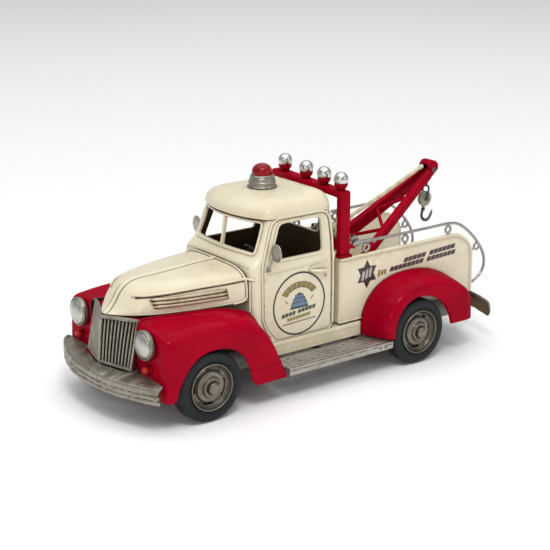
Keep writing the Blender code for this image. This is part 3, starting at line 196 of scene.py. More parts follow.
def lathe(profile, axis, centre, around=24, ring=False, slots=None):
    """A profile of (radius, distance along the axis) turned about an axis through `centre`.

    A ring profile is a closed loop off the axis. Otherwise the profile runs from the axis back to it.
    `slots` = (front pair, back pair, open sectors) leaves windows through a ring profile.
    """
    put = {
        "x": lambda r, a, c, s: (centre[0] + a, centre[1] + r * c, centre[2] + r * s),
        "y": lambda r, a, c, s: (centre[0] + r * c, centre[1] + a, centre[2] + r * s),
        "z": lambda r, a, c, s: (centre[0] + r * c, centre[1] + r * s, centre[2] + a),
    }[axis]
    points, index = [], {}
    for j, (r, a) in enumerate(profile):
        for k in range(around):
            if r == 0.0 and k:
                index[j, k] = index[j, 0]
                continue
            turn = 2 * math.pi * k / around
            index[j, k] = len(points)
            points.append(put(r, a, math.cos(turn), math.sin(turn)))
    faces = []
    count = len(profile)
    steps = count if ring else count - 1
    open_bands = ()
    if slots:
        front, back, sectors = slots
        open_bands = (front[0], back[0])
    for j in range(steps):
        n = (j + 1) % count
        for k in range(around):
            m = (k + 1) % around
            if slots and j in open_bands and k in sectors:
                continue
            faces.append((index[j, k], index[j, m], index[n, m], index[n, k]))
    if slots:
        (f0, f1), (b0, b1), sectors = slots
        for k in sectors:
            m = (k + 1) % around
            faces.append((index[f0, k], index[f0, m], index[b1, m], index[b1, k]))
            faces.append((index[f1, k], index[f1, m], index[b0, m], index[b0, k]))
            if (k - 1) % around not in sectors:
                faces.append((index[f0, k], index[f1, k], index[b0, k], index[b1, k]))
            if m not in sectors:
                faces.append((index[f0, m], index[f1, m], index[b0, m], index[b1, m]))
    return points, faces


def mirrored(shape):
    points, faces = shape
    return [(x, -y, z) for x, y, z in points], faces


def curve_through(knots, count):
    """`count` points, evenly spaced by length, on a smooth curve through the knots."""
    knots = [np.array(k, float) for k in knots]
    dense = []
    for i in range(len(knots) - 1):
        p0 = knots[max(i - 1, 0)]
        p1, p2 = knots[i], knots[i + 1]
        p3 = knots[min(i + 2, len(knots) - 1)]
        for step in range(16):
            t = step / 16
            dense.append(
                0.5 * (2 * p1 + (p2 - p0) * t + (2 * p0 - 5 * p1 + 4 * p2 - p3) * t * t + (3 * p1 - p0 - 3 * p2 + p3) * t**3)
            )
    dense.append(knots[-1])
    dense = np.array(dense)
    run = np.concatenate([[0], np.cumsum(np.linalg.norm(np.diff(dense, axis=0), axis=1))])
    want = np.linspace(0, run[-1], count)
    return [tuple(float(np.interp(w, run, dense[:, a])) for a in range(dense.shape[1])) for w in want]


def table(x, pairs):
    return float(np.interp(x, [p[0] for p in pairs], [p[1] for p in pairs]))


def smooth_table(x, pairs):
    """A value read from a table with a gentle curve between its entries."""
    xs, ys = [p[0] for p in pairs], [p[1] for p in pairs]
    if x <= xs[0]:
        return ys[0]
    if x >= xs[-1]:
        return ys[-1]
    i = max(k for k in range(len(xs) - 1) if xs[k] <= x)
    slopes = []
    for k in (i, i + 1):
        if k == 0:
            slopes.append((ys[1] - ys[0]) / (xs[1] - xs[0]))
        elif k == len(xs) - 1:
            slopes.append((ys[-1] - ys[-2]) / (xs[-1] - xs[-2]))
        else:
            left = (ys[k] - ys[k - 1]) / (xs[k] - xs[k - 1])
            right = (ys[k + 1] - ys[k]) / (xs[k + 1] - xs[k])
            slopes.append(0.0 if left * right <= 0 else 2 * left * right / (left + right))
    width = xs[i + 1] - xs[i]
    t = (x - xs[i]) / width
    return (
        ys[i] * (2 * t**3 - 3 * t**2 + 1)
        + slopes[0] * width * (t**3 - 2 * t**2 + t)
        + ys[i + 1] * (3 * t**2 - 2 * t**3)
        + slopes[1] * width * (t**3 - t**2)
    )


def hood_point(x, turn, lift=0.0):
    """A point on the hood: turn 0 is the left lower edge, pi/2 the middle of the top."""
    width = smooth_table(x, HOOD_WIDTH) + lift
    base = smooth_table(x, HOOD_BASE)
    rise = max(smooth_table(x, HOOD_TOP) - base, 0.3) + lift
    power = 2.0 / smooth_table(x, HOOD_FULLNESS)
    c, s = math.cos(turn), math.sin(turn)
    return (x, width * math.copysign(abs(c) ** power, c), base + rise * abs(s) ** power)


def hood_side(x, z, out):
    """The point on the left side of the hood at this x and height, stood off by `out`."""
    base = smooth_table(x, HOOD_BASE)
    rise = smooth_table(x, HOOD_TOP) - base
    power = 2.0 / smooth_table(x, HOOD_FULLNESS)
    s = min(max((z - base) / rise, 0.0), 0.999) ** (1 / power)
    turn = math.asin(s)
    here = np.array(hood_point(x, turn))
    step = np.array(hood_point(x, turn + 0.01)) - np.array(hood_point(x, turn - 0.01))
    ahead = np.array(hood_point(x + 0.5, turn)) - np.array(hood_point(x - 0.5, turn))
    normal = np.cross(step, ahead)
    normal /= np.linalg.norm(normal)
    if normal[1] < 0:
        normal = -normal
    return tuple(here + normal * out)


def bumper_x(y, middle, ends, half):
    return middle + (ends - middle) * (abs(y) / half) ** 2.1


def fillet(a, corner, b, reach, count):
    """Points that leave `a`, turn smoothly near `corner`, and arrive at `b`."""
    a, corner, b = (np.array(p, float) for p in (a, corner, b))
    back, ahead = a - corner, b - corner
    la, lb = np.linalg.norm(back), np.linalg.norm(ahead)
    start = corner + back / la * min(reach, la * 0.48)
    stop = corner + ahead / lb * min(reach, lb * 0.48)
    turn = [
        tuple(start * (1 - t) ** 2 + corner * 2 * t * (1 - t) + stop * t * t)
        for t in (k / (count - 1) for k in range(count))
    ]
    return turn


def front_fender_grid(along, across):
    lip = curve_through(FF_LIP, along)
    edge = curve_through(FF_EDGE, along)
    body = curve_through(FF_BODY, along)
    rows = []
    for k, (a, e, b) in enumerate(zip(lip, edge, body)):
        p0 = (a[0], FENDER_Y - 0.2, a[1])
        p1 = (e[0], FENDER_Y - 0.6, e[1])
        p2 = b
        reach = smooth_table(k / (along - 1), [(0.0, 6.5), (0.3, 9.0), (0.6, 11.0), (0.85, 8.0), (1.0, 1.6)])
        turn = fillet(p0, p1, p2, reach, across - 5)
        first = [tuple(np.array(p0) * (1 - t) + np.array(turn[0]) * t) for t in (0.0, 0.5)]
        last = [tuple(np.array(turn[-1]) * (1 - t) + np.array(p2) * t) for t in (0.34, 0.67, 1.0)]
        rows.append(first + turn + last)
    return rows


def rear_fender_grid(along, across):
    lip = curve_through(RF_LIP, along)
    edge = curve_through(RF_EDGE, along)
    body = curve_through(RF_BODY, along)
    rows = []
    for a, e, b in zip(lip, edge, body):
        p0 = (a[0], FENDER_Y - 0.6, a[1])
        p1 = (e[0], FENDER_Y - 0.2, e[1])
        p2 = (b[0], BODY_Y + 0.5, b[1])
        turn = fillet(p0, p1, p2, 13.0, across - 3)
        first = [p0]
        last = [tuple(np.array(turn[-1]) * (1 - t) + np.array(p2) * t) for t in (0.5, 1.0)]
        rows.append(first + turn + last)
    return rows


def cab_outline(z, inset=0.0, corner=8):
    """The cab's plan at height z, as a loop of points that starts at the middle of the nose."""
    side = smooth_table(z, CAB_SIDE) - inset
    nose = smooth_table(z, CAB_NOSE) - inset
    edge = smooth_table(z, CAB_CORNER) - inset
    back = smooth_table(z, CAB_BACK) + inset
    bend = max(4.5 - inset, 1.0)
    half = []
    for t in (0.0, 0.1, 0.2, 0.3, 0.4, 0.5, 0.6, 0.7, 0.8, 0.9, 0.96):
        y = (side - bend) * t
        half.append((nose + (edge - nose) * t**2, y))
    for k in range(corner):
        turn = math.pi / 2 * k / (corner - 1)
        half.append((edge - bend + bend * math.cos(turn), side - bend + bend * math.sin(turn)))
    half.append((0.0, side))
    for k in range(corner):
        turn = math.pi / 2 * k / (corner - 1)
        half.append((back + bend - bend * math.sin(turn), side - bend + bend * math.cos(turn)))
    half.append((back, 0.0))
    right = [(x, -y) for x, y in half[1:-1][::-1]]
    return [(x, y, z) for x, y in half + right]


def grown(outline, by):
    """An outline with every edge moved outwards by `by`."""
    pts = np.array(outline, float)
    area = 0.5 * np.sum(pts[:, 0] * np.roll(pts[:, 1], -1) - np.roll(pts[:, 0], -1) * pts[:, 1])
    sign = 1 if area > 0 else -1
    result = []
    for i in range(len(pts)):
        before, here, after = pts[i - 1], pts[i], pts[(i + 1) % len(pts)]
        d0, d1 = here - before, after - here
        n0 = np.array([d0[1], -d0[0]]) / np.linalg.norm(d0) * sign
        n1 = np.array([d1[1], -d1[0]]) / np.linalg.norm(d1) * sign
        mid = n0 + n1
        result.append(tuple(here + mid * by / max(0.4, 1 + float(n0 @ n1))))
    return result


def roof_lean(x):
    """How far the crown climbs towards the rear edge and drops towards the windscreen."""
    if x < -11.0:
        return 3.8 * min(1.0, (-11.0 - x) / 17.0) ** 1.15
    if x > 15.0:
        return -2.0 * min(1.0, (x - 15.0) / 19.0) ** 1.3
    return 0.0


def roof_outline(grow):
    """The roof's plan: square at the back, rounded forward over the windscreen."""
    side, back, nose, edge = 37.6 + grow, -29.0 - grow, 36.6 + grow, 28.4 + grow
    half = []
    for t in (0.0, 0.12, 0.25, 0.38, 0.5, 0.62, 0.75, 0.84, 0.92):
        y = (side - 4.0) * t
        half.append((nose + (edge - nose) * t**2.4, y))
    for k in range(1, 11):
        turn = math.pi / 2 * k / 10
        half.append((edge - 5.0 + 5.0 * math.cos(turn), side - 4.0 + 4.0 * math.sin(turn)))
    half += [(12.0, side), (-8.0, side), (-20.0, side - 0.2)]
    for k in range(1, 11):
        turn = math.pi / 2 * k / 10
        half.append((back + 6.0 - 6.0 * math.sin(turn), side - 6.2 + 6.0 * math.cos(turn)))
    half += [(back, 20.0), (back, 0.0)]
    right = [(x, -y) for x, y in half[1:-1][::-1]]
    return half + right


def bed_edge(count=14):
    """The top and rear edge of a bed side, from its front corner to its lower rear corner."""
    edge = [(BED_FRONT - 0.9, BED_TOP), (-120.0, BED_TOP + 0.6)]
    for k in range(count):
        turn = math.pi / 2 * k / (count - 1)
        edge.append((-138.0 - 22.9 * math.sin(turn), BED_TOP + 0.8 - 19.0 + 19.0 * math.cos(turn)))
    edge.append((-160.9, 50.0))
    edge.append((-160.9, 36.0))
    return edge


def bar_top(y):
    """The top of the lamp bar, which stands a little higher on the right than on the left."""
    return 131.9 - 0.036 * y


# ------------------------------------------------------------------ materials


def node(tree, kind, inputs=None, **settings):
    made = tree.nodes.new(kind)
    for key, value in settings.items():
        setattr(made, key, value)
    for key, value in (inputs or {}).items():
        if isinstance(value, bpy.types.NodeSocket):
            tree.links.new(value, made.inputs[key])
        else:
            made.inputs[key].default_value = value
    return made


def noise_of(tree, coord, scale, detail=4.0, rough=0.55, distortion=0.0, stretch=None):
    if stretch:
        coord = node(tree, "ShaderNodeMapping", {"Vector": coord, "Scale": stretch}).outputs[0]
    return node(
        tree, "ShaderNodeTexNoise",
        {"Vector": coord, "Scale": scale, "Detail": detail, "Roughness": rough, "Distortion": distortion},
    ).outputs["Fac"]


def ramp(tree, value, low, high, out_low=0.0, out_high=1.0, smooth=True):
    return node(
        tree, "ShaderNodeMapRange",
        {"Value": value, "From Min": low, "From Max": high, "To Min": out_low, "To Max": out_high},
        interpolation_type="SMOOTHSTEP" if smooth else "LINEAR",
    ).outputs[0]


def calc(tree, how, a, b=0.0, c=0.0):
    made = node(tree, "ShaderNodeMath", {0: a, 1: b, 2: c}, operation=how)
    return made.outputs[0]


def mix(tree, share, a, b, how="MIX"):
    made = node(tree, "ShaderNodeMix", None, data_type="RGBA", blend_type=how)
    for index, value in ((0, share), (6, a), (7, b)):
        if isinstance(value, bpy.types.NodeSocket):
            tree.links.new(value, made.inputs[index])
        else:
            made.inputs[index].default_value = value if index == 0 else (*value[:3], 1.0)
    return made.outputs[2]


def fresh(name):
    made = bpy.data.materials.new(name)
    made.use_nodes = True
    tree = made.node_tree
    shader = tree.nodes["Principled BSDF"]
    coord = node(tree, "ShaderNodeTexCoord").outputs["Object"]
    return made, tree, shader, coord


def plug(tree, shader, **sockets):
    for key, value in sockets.items():
        name = key.replace("_", " ")
        if isinstance(value, bpy.types.NodeSocket):
            tree.links.new(value, shader.inputs[name])
        else:
            shader.inputs[name].default_value = value


def crevice(tree, reach, samples=6):
    """1 deep in seams and hollows, 0 in the open."""
    wide = node(tree, "ShaderNodeAmbientOcclusion", {"Distance": reach}, samples=samples, only_local=False)
    near = node(tree, "ShaderNodeAmbientOcclusion", {"Distance": reach * 0.35}, samples=samples, only_local=False)
    soft = ramp(tree, wide.outputs["AO"], 0.2, 0.9, 0.8, 0.0)
    tight = ramp(tree, near.outputs["AO"], 0.35, 0.92, 1.0, 0.0)
    return calc(tree, "MAXIMUM", soft, tight)


def bumps(tree, height, strength, distance, below=None):
    inputs = {"Height": height, "Strength": strength, "Distance": distance}
    if below:
        inputs["Normal"] = below
    return node(tree, "ShaderNodeBump", inputs).outputs[0]


def enamel(name, paint, deep, wash, gloss=0.3, washed=0.8, stains=0.3, chips=0.0, coat=0.35, shine=0.5, stain=(0.40, 0.25, 0.09)):
    """Sprayed enamel over sheet metal, with brown wash and painted shade in its seams, both taken from ambient
    occlusion.
    """
    made, tree, shader, coord = fresh(name)
    cloud = noise_of(tree, coord, 26, 3)
    mottle = noise_of(tree, coord, 170, 6, 0.62)
    grit = noise_of(tree, coord, 900, 5, 0.6)
    peel = noise_of(tree, coord, 1500, 2, 0.5)
    colour = mix(tree, ramp(tree, cloud, 0.3, 0.72, 0.0, 1.0), paint, deep)
    colour = mix(tree, ramp(tree, mottle, 0.5, 0.78, 0.0, 0.035), colour, wash)
    patches = ramp(tree, noise_of(tree, coord, 42, 8, 0.68, 0.6), 0.58, 0.76, 0.0, stains)
    colour = mix(tree, patches, colour, stain)
    # brown wash and painted shade: the colour is pulled toward the wash colour where ambient occlusion finds seams and
    # hollows
    seam = crevice(tree, 0.0042)
    seam = calc(tree, "MULTIPLY", seam, ramp(tree, mottle, 0.28, 0.62, 0.45, 1.0))
    seam = calc(tree, "MULTIPLY", seam, washed)
    colour = mix(tree, seam, colour, wash)
    if chips:
        spots = ramp(tree, noise_of(tree, coord, 330, 3, 0.7, 0.3), 0.735, 0.76, 0.0, chips)
        colour = mix(tree, spots, colour, (0.055, 0.03, 0.018))
    rough = calc(tree, "ADD", ramp(tree, mottle, 0.3, 0.7, gloss - 0.05, gloss + 0.08), calc(tree, "MULTIPLY", seam, 0.25))
    height = calc(tree, "ADD", calc(tree, "MULTIPLY", peel, 0.6), calc(tree, "MULTIPLY", mottle, 0.6))
    plug(
        tree, shader, Base_Color=colour, Roughness=rough, Metallic=0.0, Coat_Weight=coat, Coat_Roughness=0.12,
        Normal=bumps(tree, height, 0.12, 0.0002), Specular_IOR_Level=shine,
    )
    return made


def aged_metal(name, bright, dark, rough=0.36, washed=0.9, hammer=0.35, streak=None, metal=0.85, reach=0.0035):
    """Silver paint or bare metal gone brown in its hollows."""
    made, tree, shader, coord = fresh(name)
    cloud = noise_of(tree, coord, 60, 4)
    mottle = noise_of(tree, coord, 260, 6, 0.65)
    brush = noise_of(tree, coord, 420, 4, 0.6, 0.0, streak or (0.12, 1.0, 1.0))
    beat = noise_of(tree, coord, 190, 2, 0.4)
    mid = tuple(0.55 * a + 0.45 * b for a, b in zip(bright, dark))
    colour = mix(tree, ramp(tree, cloud, 0.3, 0.7, 0.0, 0.75), bright, mid)
    colour = mix(tree, ramp(tree, mottle, 0.48, 0.75, 0.0, 0.55), colour, dark)
    seam = calc(tree, "MULTIPLY", crevice(tree, reach), washed)
    colour = mix(tree, seam, colour, tuple(0.6 * c for c in dark))
    roughness = calc(tree, "ADD", ramp(tree, brush, 0.3, 0.7, rough - 0.08, rough + 0.14), calc(tree, "MULTIPLY", seam, 0.3))
    shine = ramp(tree, calc(tree, "ADD", seam, calc(tree, "MULTIPLY", mottle, 0.3)), 0.1, 1.1, metal, metal * 0.45)
    fine = bumps(tree, brush, 0.16, 0.00012)
    plug(
        tree, shader, Base_Color=colour, Roughness=roughness, Metallic=shine,
        Normal=bumps(tree, beat, hammer, 0.00035, fine),
    )
    return made


def plated(name, bright, rough=0.1):
    made, tree, shader, coord = fresh(name)
    smear = noise_of(tree, coord, 120, 6, 0.7)
    cloud = noise_of(tree, coord, 45, 3)
    pits = noise_of(tree, coord, 800, 3, 0.6)
    colour = mix(tree, ramp(tree, smear, 0.45, 0.8, 0.0, 0.5), bright, tuple(0.5 * c for c in bright))
    colour = mix(tree, calc(tree, "MULTIPLY", crevice(tree, 0.003), 0.8), colour, (0.09, 0.06, 0.04))
    plug(
        tree, shader, Base_Color=colour, Metallic=1.0, Roughness=ramp(tree, cloud, 0.3, 0.7, rough * 0.7, rough * 1.6),
        Normal=bumps(tree, pits, 0.06, 0.0001),
    )
    return made


def rubber(name):
    made, tree, shader, coord = fresh(name)
    dust = noise_of(tree, coord, 90, 6, 0.65)
    grain = noise_of(tree, coord, 1600, 3, 0.6)
    colour = mix(tree, ramp(tree, dust, 0.45, 0.8, 0.0, 0.5), (0.006, 0.0075, 0.009), (0.016, 0.018, 0.021))
    plug(
        tree, shader, Base_Color=colour, Metallic=0.0, Roughness=ramp(tree, dust, 0.3, 0.7, 0.42, 0.62),
        Normal=bumps(tree, grain, 0.12, 0.00015),
    )
    shader.inputs["Specular IOR Level"].default_value = 0.3
    return made


def gem(name, deep, bright, rough=0.09):
    """Glossy translucent-looking plastic."""
    made, tree, shader, coord = fresh(name)
    cloud = noise_of(tree, coord, 150, 3)
    colour = mix(tree, ramp(tree, cloud, 0.35, 0.8, 0.0, 0.5), bright, deep)
    grain = noise_of(tree, coord, 700, 2)
    plug(
        tree, shader, Base_Color=colour, Metallic=0.0, Roughness=ramp(tree, cloud, 0.3, 0.7, rough, rough * 1.8),
        Coat_Weight=0.3, Coat_Roughness=0.04, Specular_IOR_Level=0.12, Normal=bumps(tree, grain, 0.04, 0.0001),
    )
    return made


def twine(name):
    made, tree, shader, coord = fresh(name)
    hair = noise_of(tree, coord, 2600, 5, 0.7)
    cloud = noise_of(tree, coord, 220, 5, 0.6)
    colour = mix(tree, ramp(tree, cloud, 0.3, 0.75), (0.72, 0.63, 0.44), (0.46, 0.36, 0.2))
    colour = mix(tree, ramp(tree, hair, 0.5, 0.75, 0.0, 0.4), colour, (0.86, 0.8, 0.64))
    # painted shade: darker brown between the strands, where ambient occlusion finds the grooves
    colour = mix(tree, calc(tree, "MULTIPLY", crevice(tree, 0.0012), 0.85), colour, (0.13, 0.08, 0.035))
    plug(
        tree, shader, Base_Color=colour, Roughness=0.92, Metallic=0.0, Sheen_Weight=0.3,
        Normal=bumps(tree, hair, 0.5, 0.0003),
    )
    return made


def ink(name, colour, fade=0.25):
    """Printed ink, a little worn."""
    made, tree, shader, coord = fresh(name)
    wear = noise_of(tree, coord, 520, 6, 0.7)
    cloud = noise_of(tree, coord, 130, 4)
    light = tuple(min(1.0, c * 1.7 + 0.02) for c in colour)
    shade = mix(tree, ramp(tree, wear, 0.52, 0.74, 0.0, fade), colour, (0.62, 0.54, 0.38))
    shade = mix(tree, ramp(tree, cloud, 0.4, 0.75, 0.0, 0.4), shade, light)
    plug(
        tree, shader, Base_Color=shade, Roughness=ramp(tree, cloud, 0.3, 0.7, 0.34, 0.5), Metallic=0.0, Coat_Weight=0.25,
        Normal=bumps(tree, wear, 0.08, 0.0001),
    )
    return made


OCHRE = (0.36, 0.215, 0.075)
CREAM = enamel("cream_enamel", (0.745, 0.68, 0.515), (0.665, 0.59, 0.415), (0.12, 0.058, 0.02), 0.28, 1.0, 0.3, 0.15, 0.3, 0.4, OCHRE)
# a very dark copy of the cream for the insides of the cab, doors and roof: painted shade
CREAM_INSIDE_SHADE = enamel("cream_inside_shade", (0.085, 0.052, 0.022), (0.05, 0.03, 0.013), (0.012, 0.007, 0.003), 0.5, 1.0, 0.5, 0.0, 0.05, 0.3, (0.12, 0.075, 0.03))
# a darker brown copy of the cream for the plate between the louvre rods: painted shade of the louvre slots
CREAM_LOUVRE_SHADE = enamel("cream_louvre_shade", (0.34, 0.24, 0.12), (0.18, 0.11, 0.045), (0.05, 0.022, 0.008), 0.4, 1.0, 0.6, 0.2, 0.15, 0.3, (0.12, 0.06, 0.02))
# dark brown for lines in grooves, under the rolls and rods and at joints: brown wash and painted shade
WASH_AND_SHADE = enamel("seam_wash_and_shade", (0.11, 0.06, 0.025), (0.05, 0.026, 0.011), (0.02, 0.01, 0.005), 0.5, 1.0, 0.3, 0.0, 0.05, 0.25, (0.20, 0.12, 0.05))
RED = enamel("red_enamel", (0.37, 0.0004, 0.016), (0.26, 0.0003, 0.010), (0.024, 0.001, 0.002), 0.3, 0.85, 0.1, 0.05, 0.1, 0.0, (0.17, 0.002, 0.006))
# a darker copy of the red for the recessed cheeks beside the grille: painted shade
RED_RECESS_SHADE = enamel("red_recess_shade", (0.17, 0.0015, 0.006), (0.11, 0.001, 0.004), (0.012, 0.001, 0.002), 0.35, 0.8, 0.2, 0.0, 0.12, 0.08, (0.10, 0.003, 0.005))
# near-black red for the fender joints: painted shade
RED_JOINT_SHADE = enamel("red_joint_shade", (0.055, 0.003, 0.006), (0.03, 0.003, 0.004), (0.01, 0.002, 0.002), 0.45, 0.8, 0.2, 0.0, 0.1, 0.2, (0.05, 0.01, 0.005))
PEWTER = aged_metal("aged_pewter", (0.36, 0.335, 0.28), (0.085, 0.062, 0.036), 0.33, 0.95, 0.5)
BUMPER_METAL = aged_metal("beaten_bumper", (0.33, 0.305, 0.25), (0.075, 0.052, 0.03), 0.34, 1.0, 0.75, None, 0.8, 0.006)
BRONZE = aged_metal("bronzed_inside", (0.20, 0.115, 0.04), (0.07, 0.036, 0.013), 0.4, 0.9, 0.4, None, 0.7)
RIBBED = aged_metal("worn_silver", (0.48, 0.46, 0.42), (0.11, 0.08, 0.05), 0.32, 1.0, 0.25)
RIM_METAL = aged_metal("rim_pewter", (0.23, 0.208, 0.17), (0.05, 0.036, 0.021), 0.3, 1.0, 0.15, (1.0, 0.2, 1.0), 0.85, 0.006)
LENS = plated("lens_silver", (0.50, 0.49, 0.46), 0.26)
CHROME = plated("bright_plate", (0.60, 0.59, 0.57), 0.15)
WIRE = aged_metal("rail_plate", (0.42, 0.41, 0.385), (0.15, 0.13, 0.10), 0.24, 0.9, 0.08, None, 0.9)
EYE_METAL = aged_metal("eye_plate", (0.36, 0.33, 0.27), (0.09, 0.06, 0.03), 0.3, 1.0, 0.15, None, 0.85)
STEEL = aged_metal("grey_steel", (0.17, 0.165, 0.15), (0.06, 0.045, 0.035), 0.45, 0.8, 0.2)
HOOK_STEEL = aged_metal("dark_steel", (0.14, 0.14, 0.138), (0.045, 0.04, 0.035), 0.34, 0.8, 0.2)
BLOCK = aged_metal("block_metal", (0.40, 0.37, 0.31), (0.18, 0.145, 0.10), 0.4, 0.9, 0.15, None, 0.4)
WASH = aged_metal("brown_painted", (0.085, 0.045, 0.024), (0.03, 0.018, 0.012), 0.5, 0.8, 0.25, None, 0.3)
CREAM_ROD = aged_metal("cream_rods", (0.62, 0.55, 0.40), (0.20, 0.115, 0.045), 0.3, 1.0, 0.1, None, 0.2)
# dark brown for the grille's backing and the flanks of its bars: painted shade of the grille's gaps
GRILLE_GAP_SHADE = aged_metal("grille_gap_shade", (0.055, 0.038, 0.024), (0.02, 0.013, 0.008), 0.55, 0.9, 0.2, None, 0.3)
RUBBER = rubber("black_rubber")
DOME = gem("beacon_red", (0.09, 0.0, 0.002), (0.26, 0.0, 0.004), 0.08)
AMBER = gem("marker_amber", (0.20, 0.006, 0.003), (0.42, 0.018, 0.008), 0.2)
HORN = gem("steering_black", (0.012, 0.011, 0.01), (0.03, 0.028, 0.026), 0.3)
ROPE = twine("tow_twine")
INK_DARK = ink("ink_dark", (0.02, 0.014, 0.015), 0.08)
INK_OLIVE = ink("ink_olive", (0.20, 0.165, 0.015), 0.12)
INK_GREEN = ink("ink_green", (0.012, 0.045, 0.025), 0.1)
INK_BLUE = ink("ink_blue", (0.09, 0.16, 0.25), 0.1)
INK_PLUM = ink("ink_plum", (0.035, 0.010, 0.018), 0.15)
INK_PALE = ink("ink_pale", (0.42, 0.38, 0.36))

# ------------------------------------------------------------------ making pieces


def raw(name, shape):
    """A plain mesh object from (points in design mm, faces), with its vertices already in the frame."""
    points, faces = shape
    mesh = bpy.data.meshes.new(name)
    work = bmesh.new()
    made = [work.verts.new(((p[0] + SHIFT_X) * MM, p[1] * MM, p[2] * MM)) for p in points]
    for face in faces:
        corners = []
        for index in face:
            if made[index] not in corners:
                corners.append(made[index])
        if len(corners) > 2:
            work.faces.new(corners)
    bmesh.ops.recalc_face_normals(work, faces=work.faces)
    work.to_mesh(mesh)
    work.free()
    obj = bpy.data.objects.new(name, mesh)
    bpy.context.scene.collection.objects.link(obj)
    return obj


def settle(obj):
    """Applies every modifier to the mesh."""
    bpy.context.view_layer.update()
    graph = bpy.context.evaluated_depsgraph_get()
    result = bpy.data.meshes.new_from_object(obj.evaluated_get(graph))
    obj.modifiers.clear()
    old = obj.data
    result.name = old.name + "_set"
    obj.data = result
    bpy.data.meshes.remove(old)
    return obj


def carve(obj, shapes, operation="DIFFERENCE"):
    tools = [raw("tool", shape) for shape in shapes]
    for tool in tools:
        step = obj.modifiers.new("step", "BOOLEAN")
        step.operation = operation
        step.solver = "EXACT"
        step.object = tool
    settle(obj)
    for tool in tools:
        mesh = tool.data
        bpy.data.objects.remove(tool, do_unlink=True)
        bpy.data.meshes.remove(mesh)
    work = bmesh.new()
    work.from_mesh(obj.data)
    bmesh.ops.remove_doubles(work, verts=work.verts, dist=2e-6)
    bmesh.ops.dissolve_degenerate(work, edges=work.edges, dist=2e-6)
    work.to_mesh(obj.data)
    work.free()
    return obj


def dress(obj, paint, body, nodes=(), angle=40.0, bevel=0.0, steps=2):
    """Gives a finished mesh its material, its soft edges and its place on a body."""
    if bevel:
        round_off = obj.modifiers.new("edges", "BEVEL")
        round_off.width = bevel * MM
        round_off.segments = steps
        round_off.limit_method = "ANGLE"
        round_off.angle_limit = math.radians(34)
        round_off.use_clamp_overlap = True
        settle(obj)
    obj.data.materials.clear()
    obj.data.materials.append(paint)
    work = bmesh.new()
    work.from_mesh(obj.data)
    for face in work.faces:
        face.smooth = True
        face.material_index = 0
    work.to_mesh(obj.data)
    work.free()
    obj.data.set_sharp_from_angle(angle=math.radians(angle))
    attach(obj, body)
    if nodes:
        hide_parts(*nodes)
    return obj


def piece(name, shape, paint, body, nodes=(), angle=40.0, bevel=0.0, steps=2):
    return dress(raw(name, shape), paint, body, nodes, angle, bevel, steps)


def merged(*shapes):
    """Several closed shapes in one mesh."""
    points, faces = [], []
    for more_points, more_faces in shapes:
        start = len(points)
        points += [tuple(p) for p in more_points]
        faces += [tuple(i + start for i in face) for face in more_faces]
    return points, faces


def soften(points, radius=0.4, count=4, closed=True):
    """A polyline with each of its corners rounded."""
    pts = [np.array(p, float) for p in points]
    result = []
    total = len(pts)
    for i, here in enumerate(pts):
        if not closed and i in (0, total - 1):
            result.append(tuple(here))
            continue
        before, after = pts[i - 1], pts[(i + 1) % total]
        la, lb = np.linalg.norm(before - here), np.linalg.norm(after - here)
        if la < 1e-6 or lb < 1e-6:
            result.append(tuple(here))
            continue
        turn = float(np.dot((before - here) / la, (after - here) / lb))
        if turn < -0.995:
            result.append(tuple(here))
            continue
        a = here + (before - here) / la * min(radius, la * 0.45)
        b = here + (after - here) / lb * min(radius, lb * 0.45)
        for k in range(count):
            t = k / (count - 1)
            result.append(tuple(a * (1 - t) ** 2 + here * 2 * t * (1 - t) + b * t * t))
    return result


def spread(points, step, closed=False):
    """The same polyline with extra points, so that none are further apart than `step`."""
    result = []
    count = len(points)
    for i in range(count if closed else count - 1):
        a, b = np.array(points[i], float), np.array(points[(i + 1) % count], float)
        parts = max(1, int(math.ceil(float(np.linalg.norm(b - a)) / step)))
        for k in range(parts):
            result.append(tuple(a + (b - a) * k / parts))
    if not closed:
        result.append(tuple(points[-1]))
    return result


def ripple(obj, amount, size, seed=0.0):
    """Moves each vertex a little along its normal, like hand-beaten sheet."""
    work = bmesh.new()
    work.from_mesh(obj.data)
    work.normal_update()
    for v in work.verts:
        here = v.co * (1000.0 / size) + Vector((seed, seed * 0.7, seed * 1.3))
        v.co += v.normal * noise.noise(here) * amount * MM
    bmesh.ops.delete(work, geom=[v for v in work.verts if not v.link_faces], context="VERTS")
    work.to_mesh(obj.data)
    work.free()
    return obj


def ball(centre, radius, squash=1.0, around=32, rows=20, axis="z"):
    profile = []
    for k in range(rows + 1):
        turn = math.pi * k / rows
        profile.append((0.0 if k in (0, rows) else radius * math.sin(turn), -radius * squash * math.cos(turn)))
    return lathe(profile, axis, centre, around)


def rivet(centre, radius, axis="y", side=1, high=0.55):
    """A domed rivet head, closed at its back."""
    profile = [(0.0, -0.4 * side), (radius, -0.4 * side)]
    for k in range(6):
        turn = math.pi / 2 * k / 5
        profile.append((radius * math.cos(turn) if k < 5 else 0.0, high * math.sin(turn) * side))
    return lathe(profile, axis, centre, 20)


def on_cab_side(x, z, out=0.0, side=1):
    """A point on the flank of the cab, stood off by `out`."""
    return (x, side * (smooth_table(z, CAB_SIDE) + out), z)


def on_cab_front(y, z, out=0.0):
    """A point on the curved front of the cab."""
    side = smooth_table(z, CAB_SIDE)
    nose, edge = smooth_table(z, CAB_NOSE), smooth_table(z, CAB_CORNER)
    flat = side - 4.5
    if abs(y) <= flat:
        t = abs(y) / flat
        x = nose + (edge - nose) * t**2
        lean = 2 * (edge - nose) * t / flat * math.copysign(1, y)
        normal = np.array([1.0, -lean, 0.2])
        normal /= np.linalg.norm(normal)
        return tuple(np.array([x, y, z]) + normal * out)
    turn = math.asin(min((abs(y) - flat) / 4.5, 1.0))
    return (edge - 4.5 + (4.5 + out) * math.cos(turn), math.copysign(flat + (4.5 + out) * math.sin(turn), y), z)


# ------------------------------------------------------------------ wheels


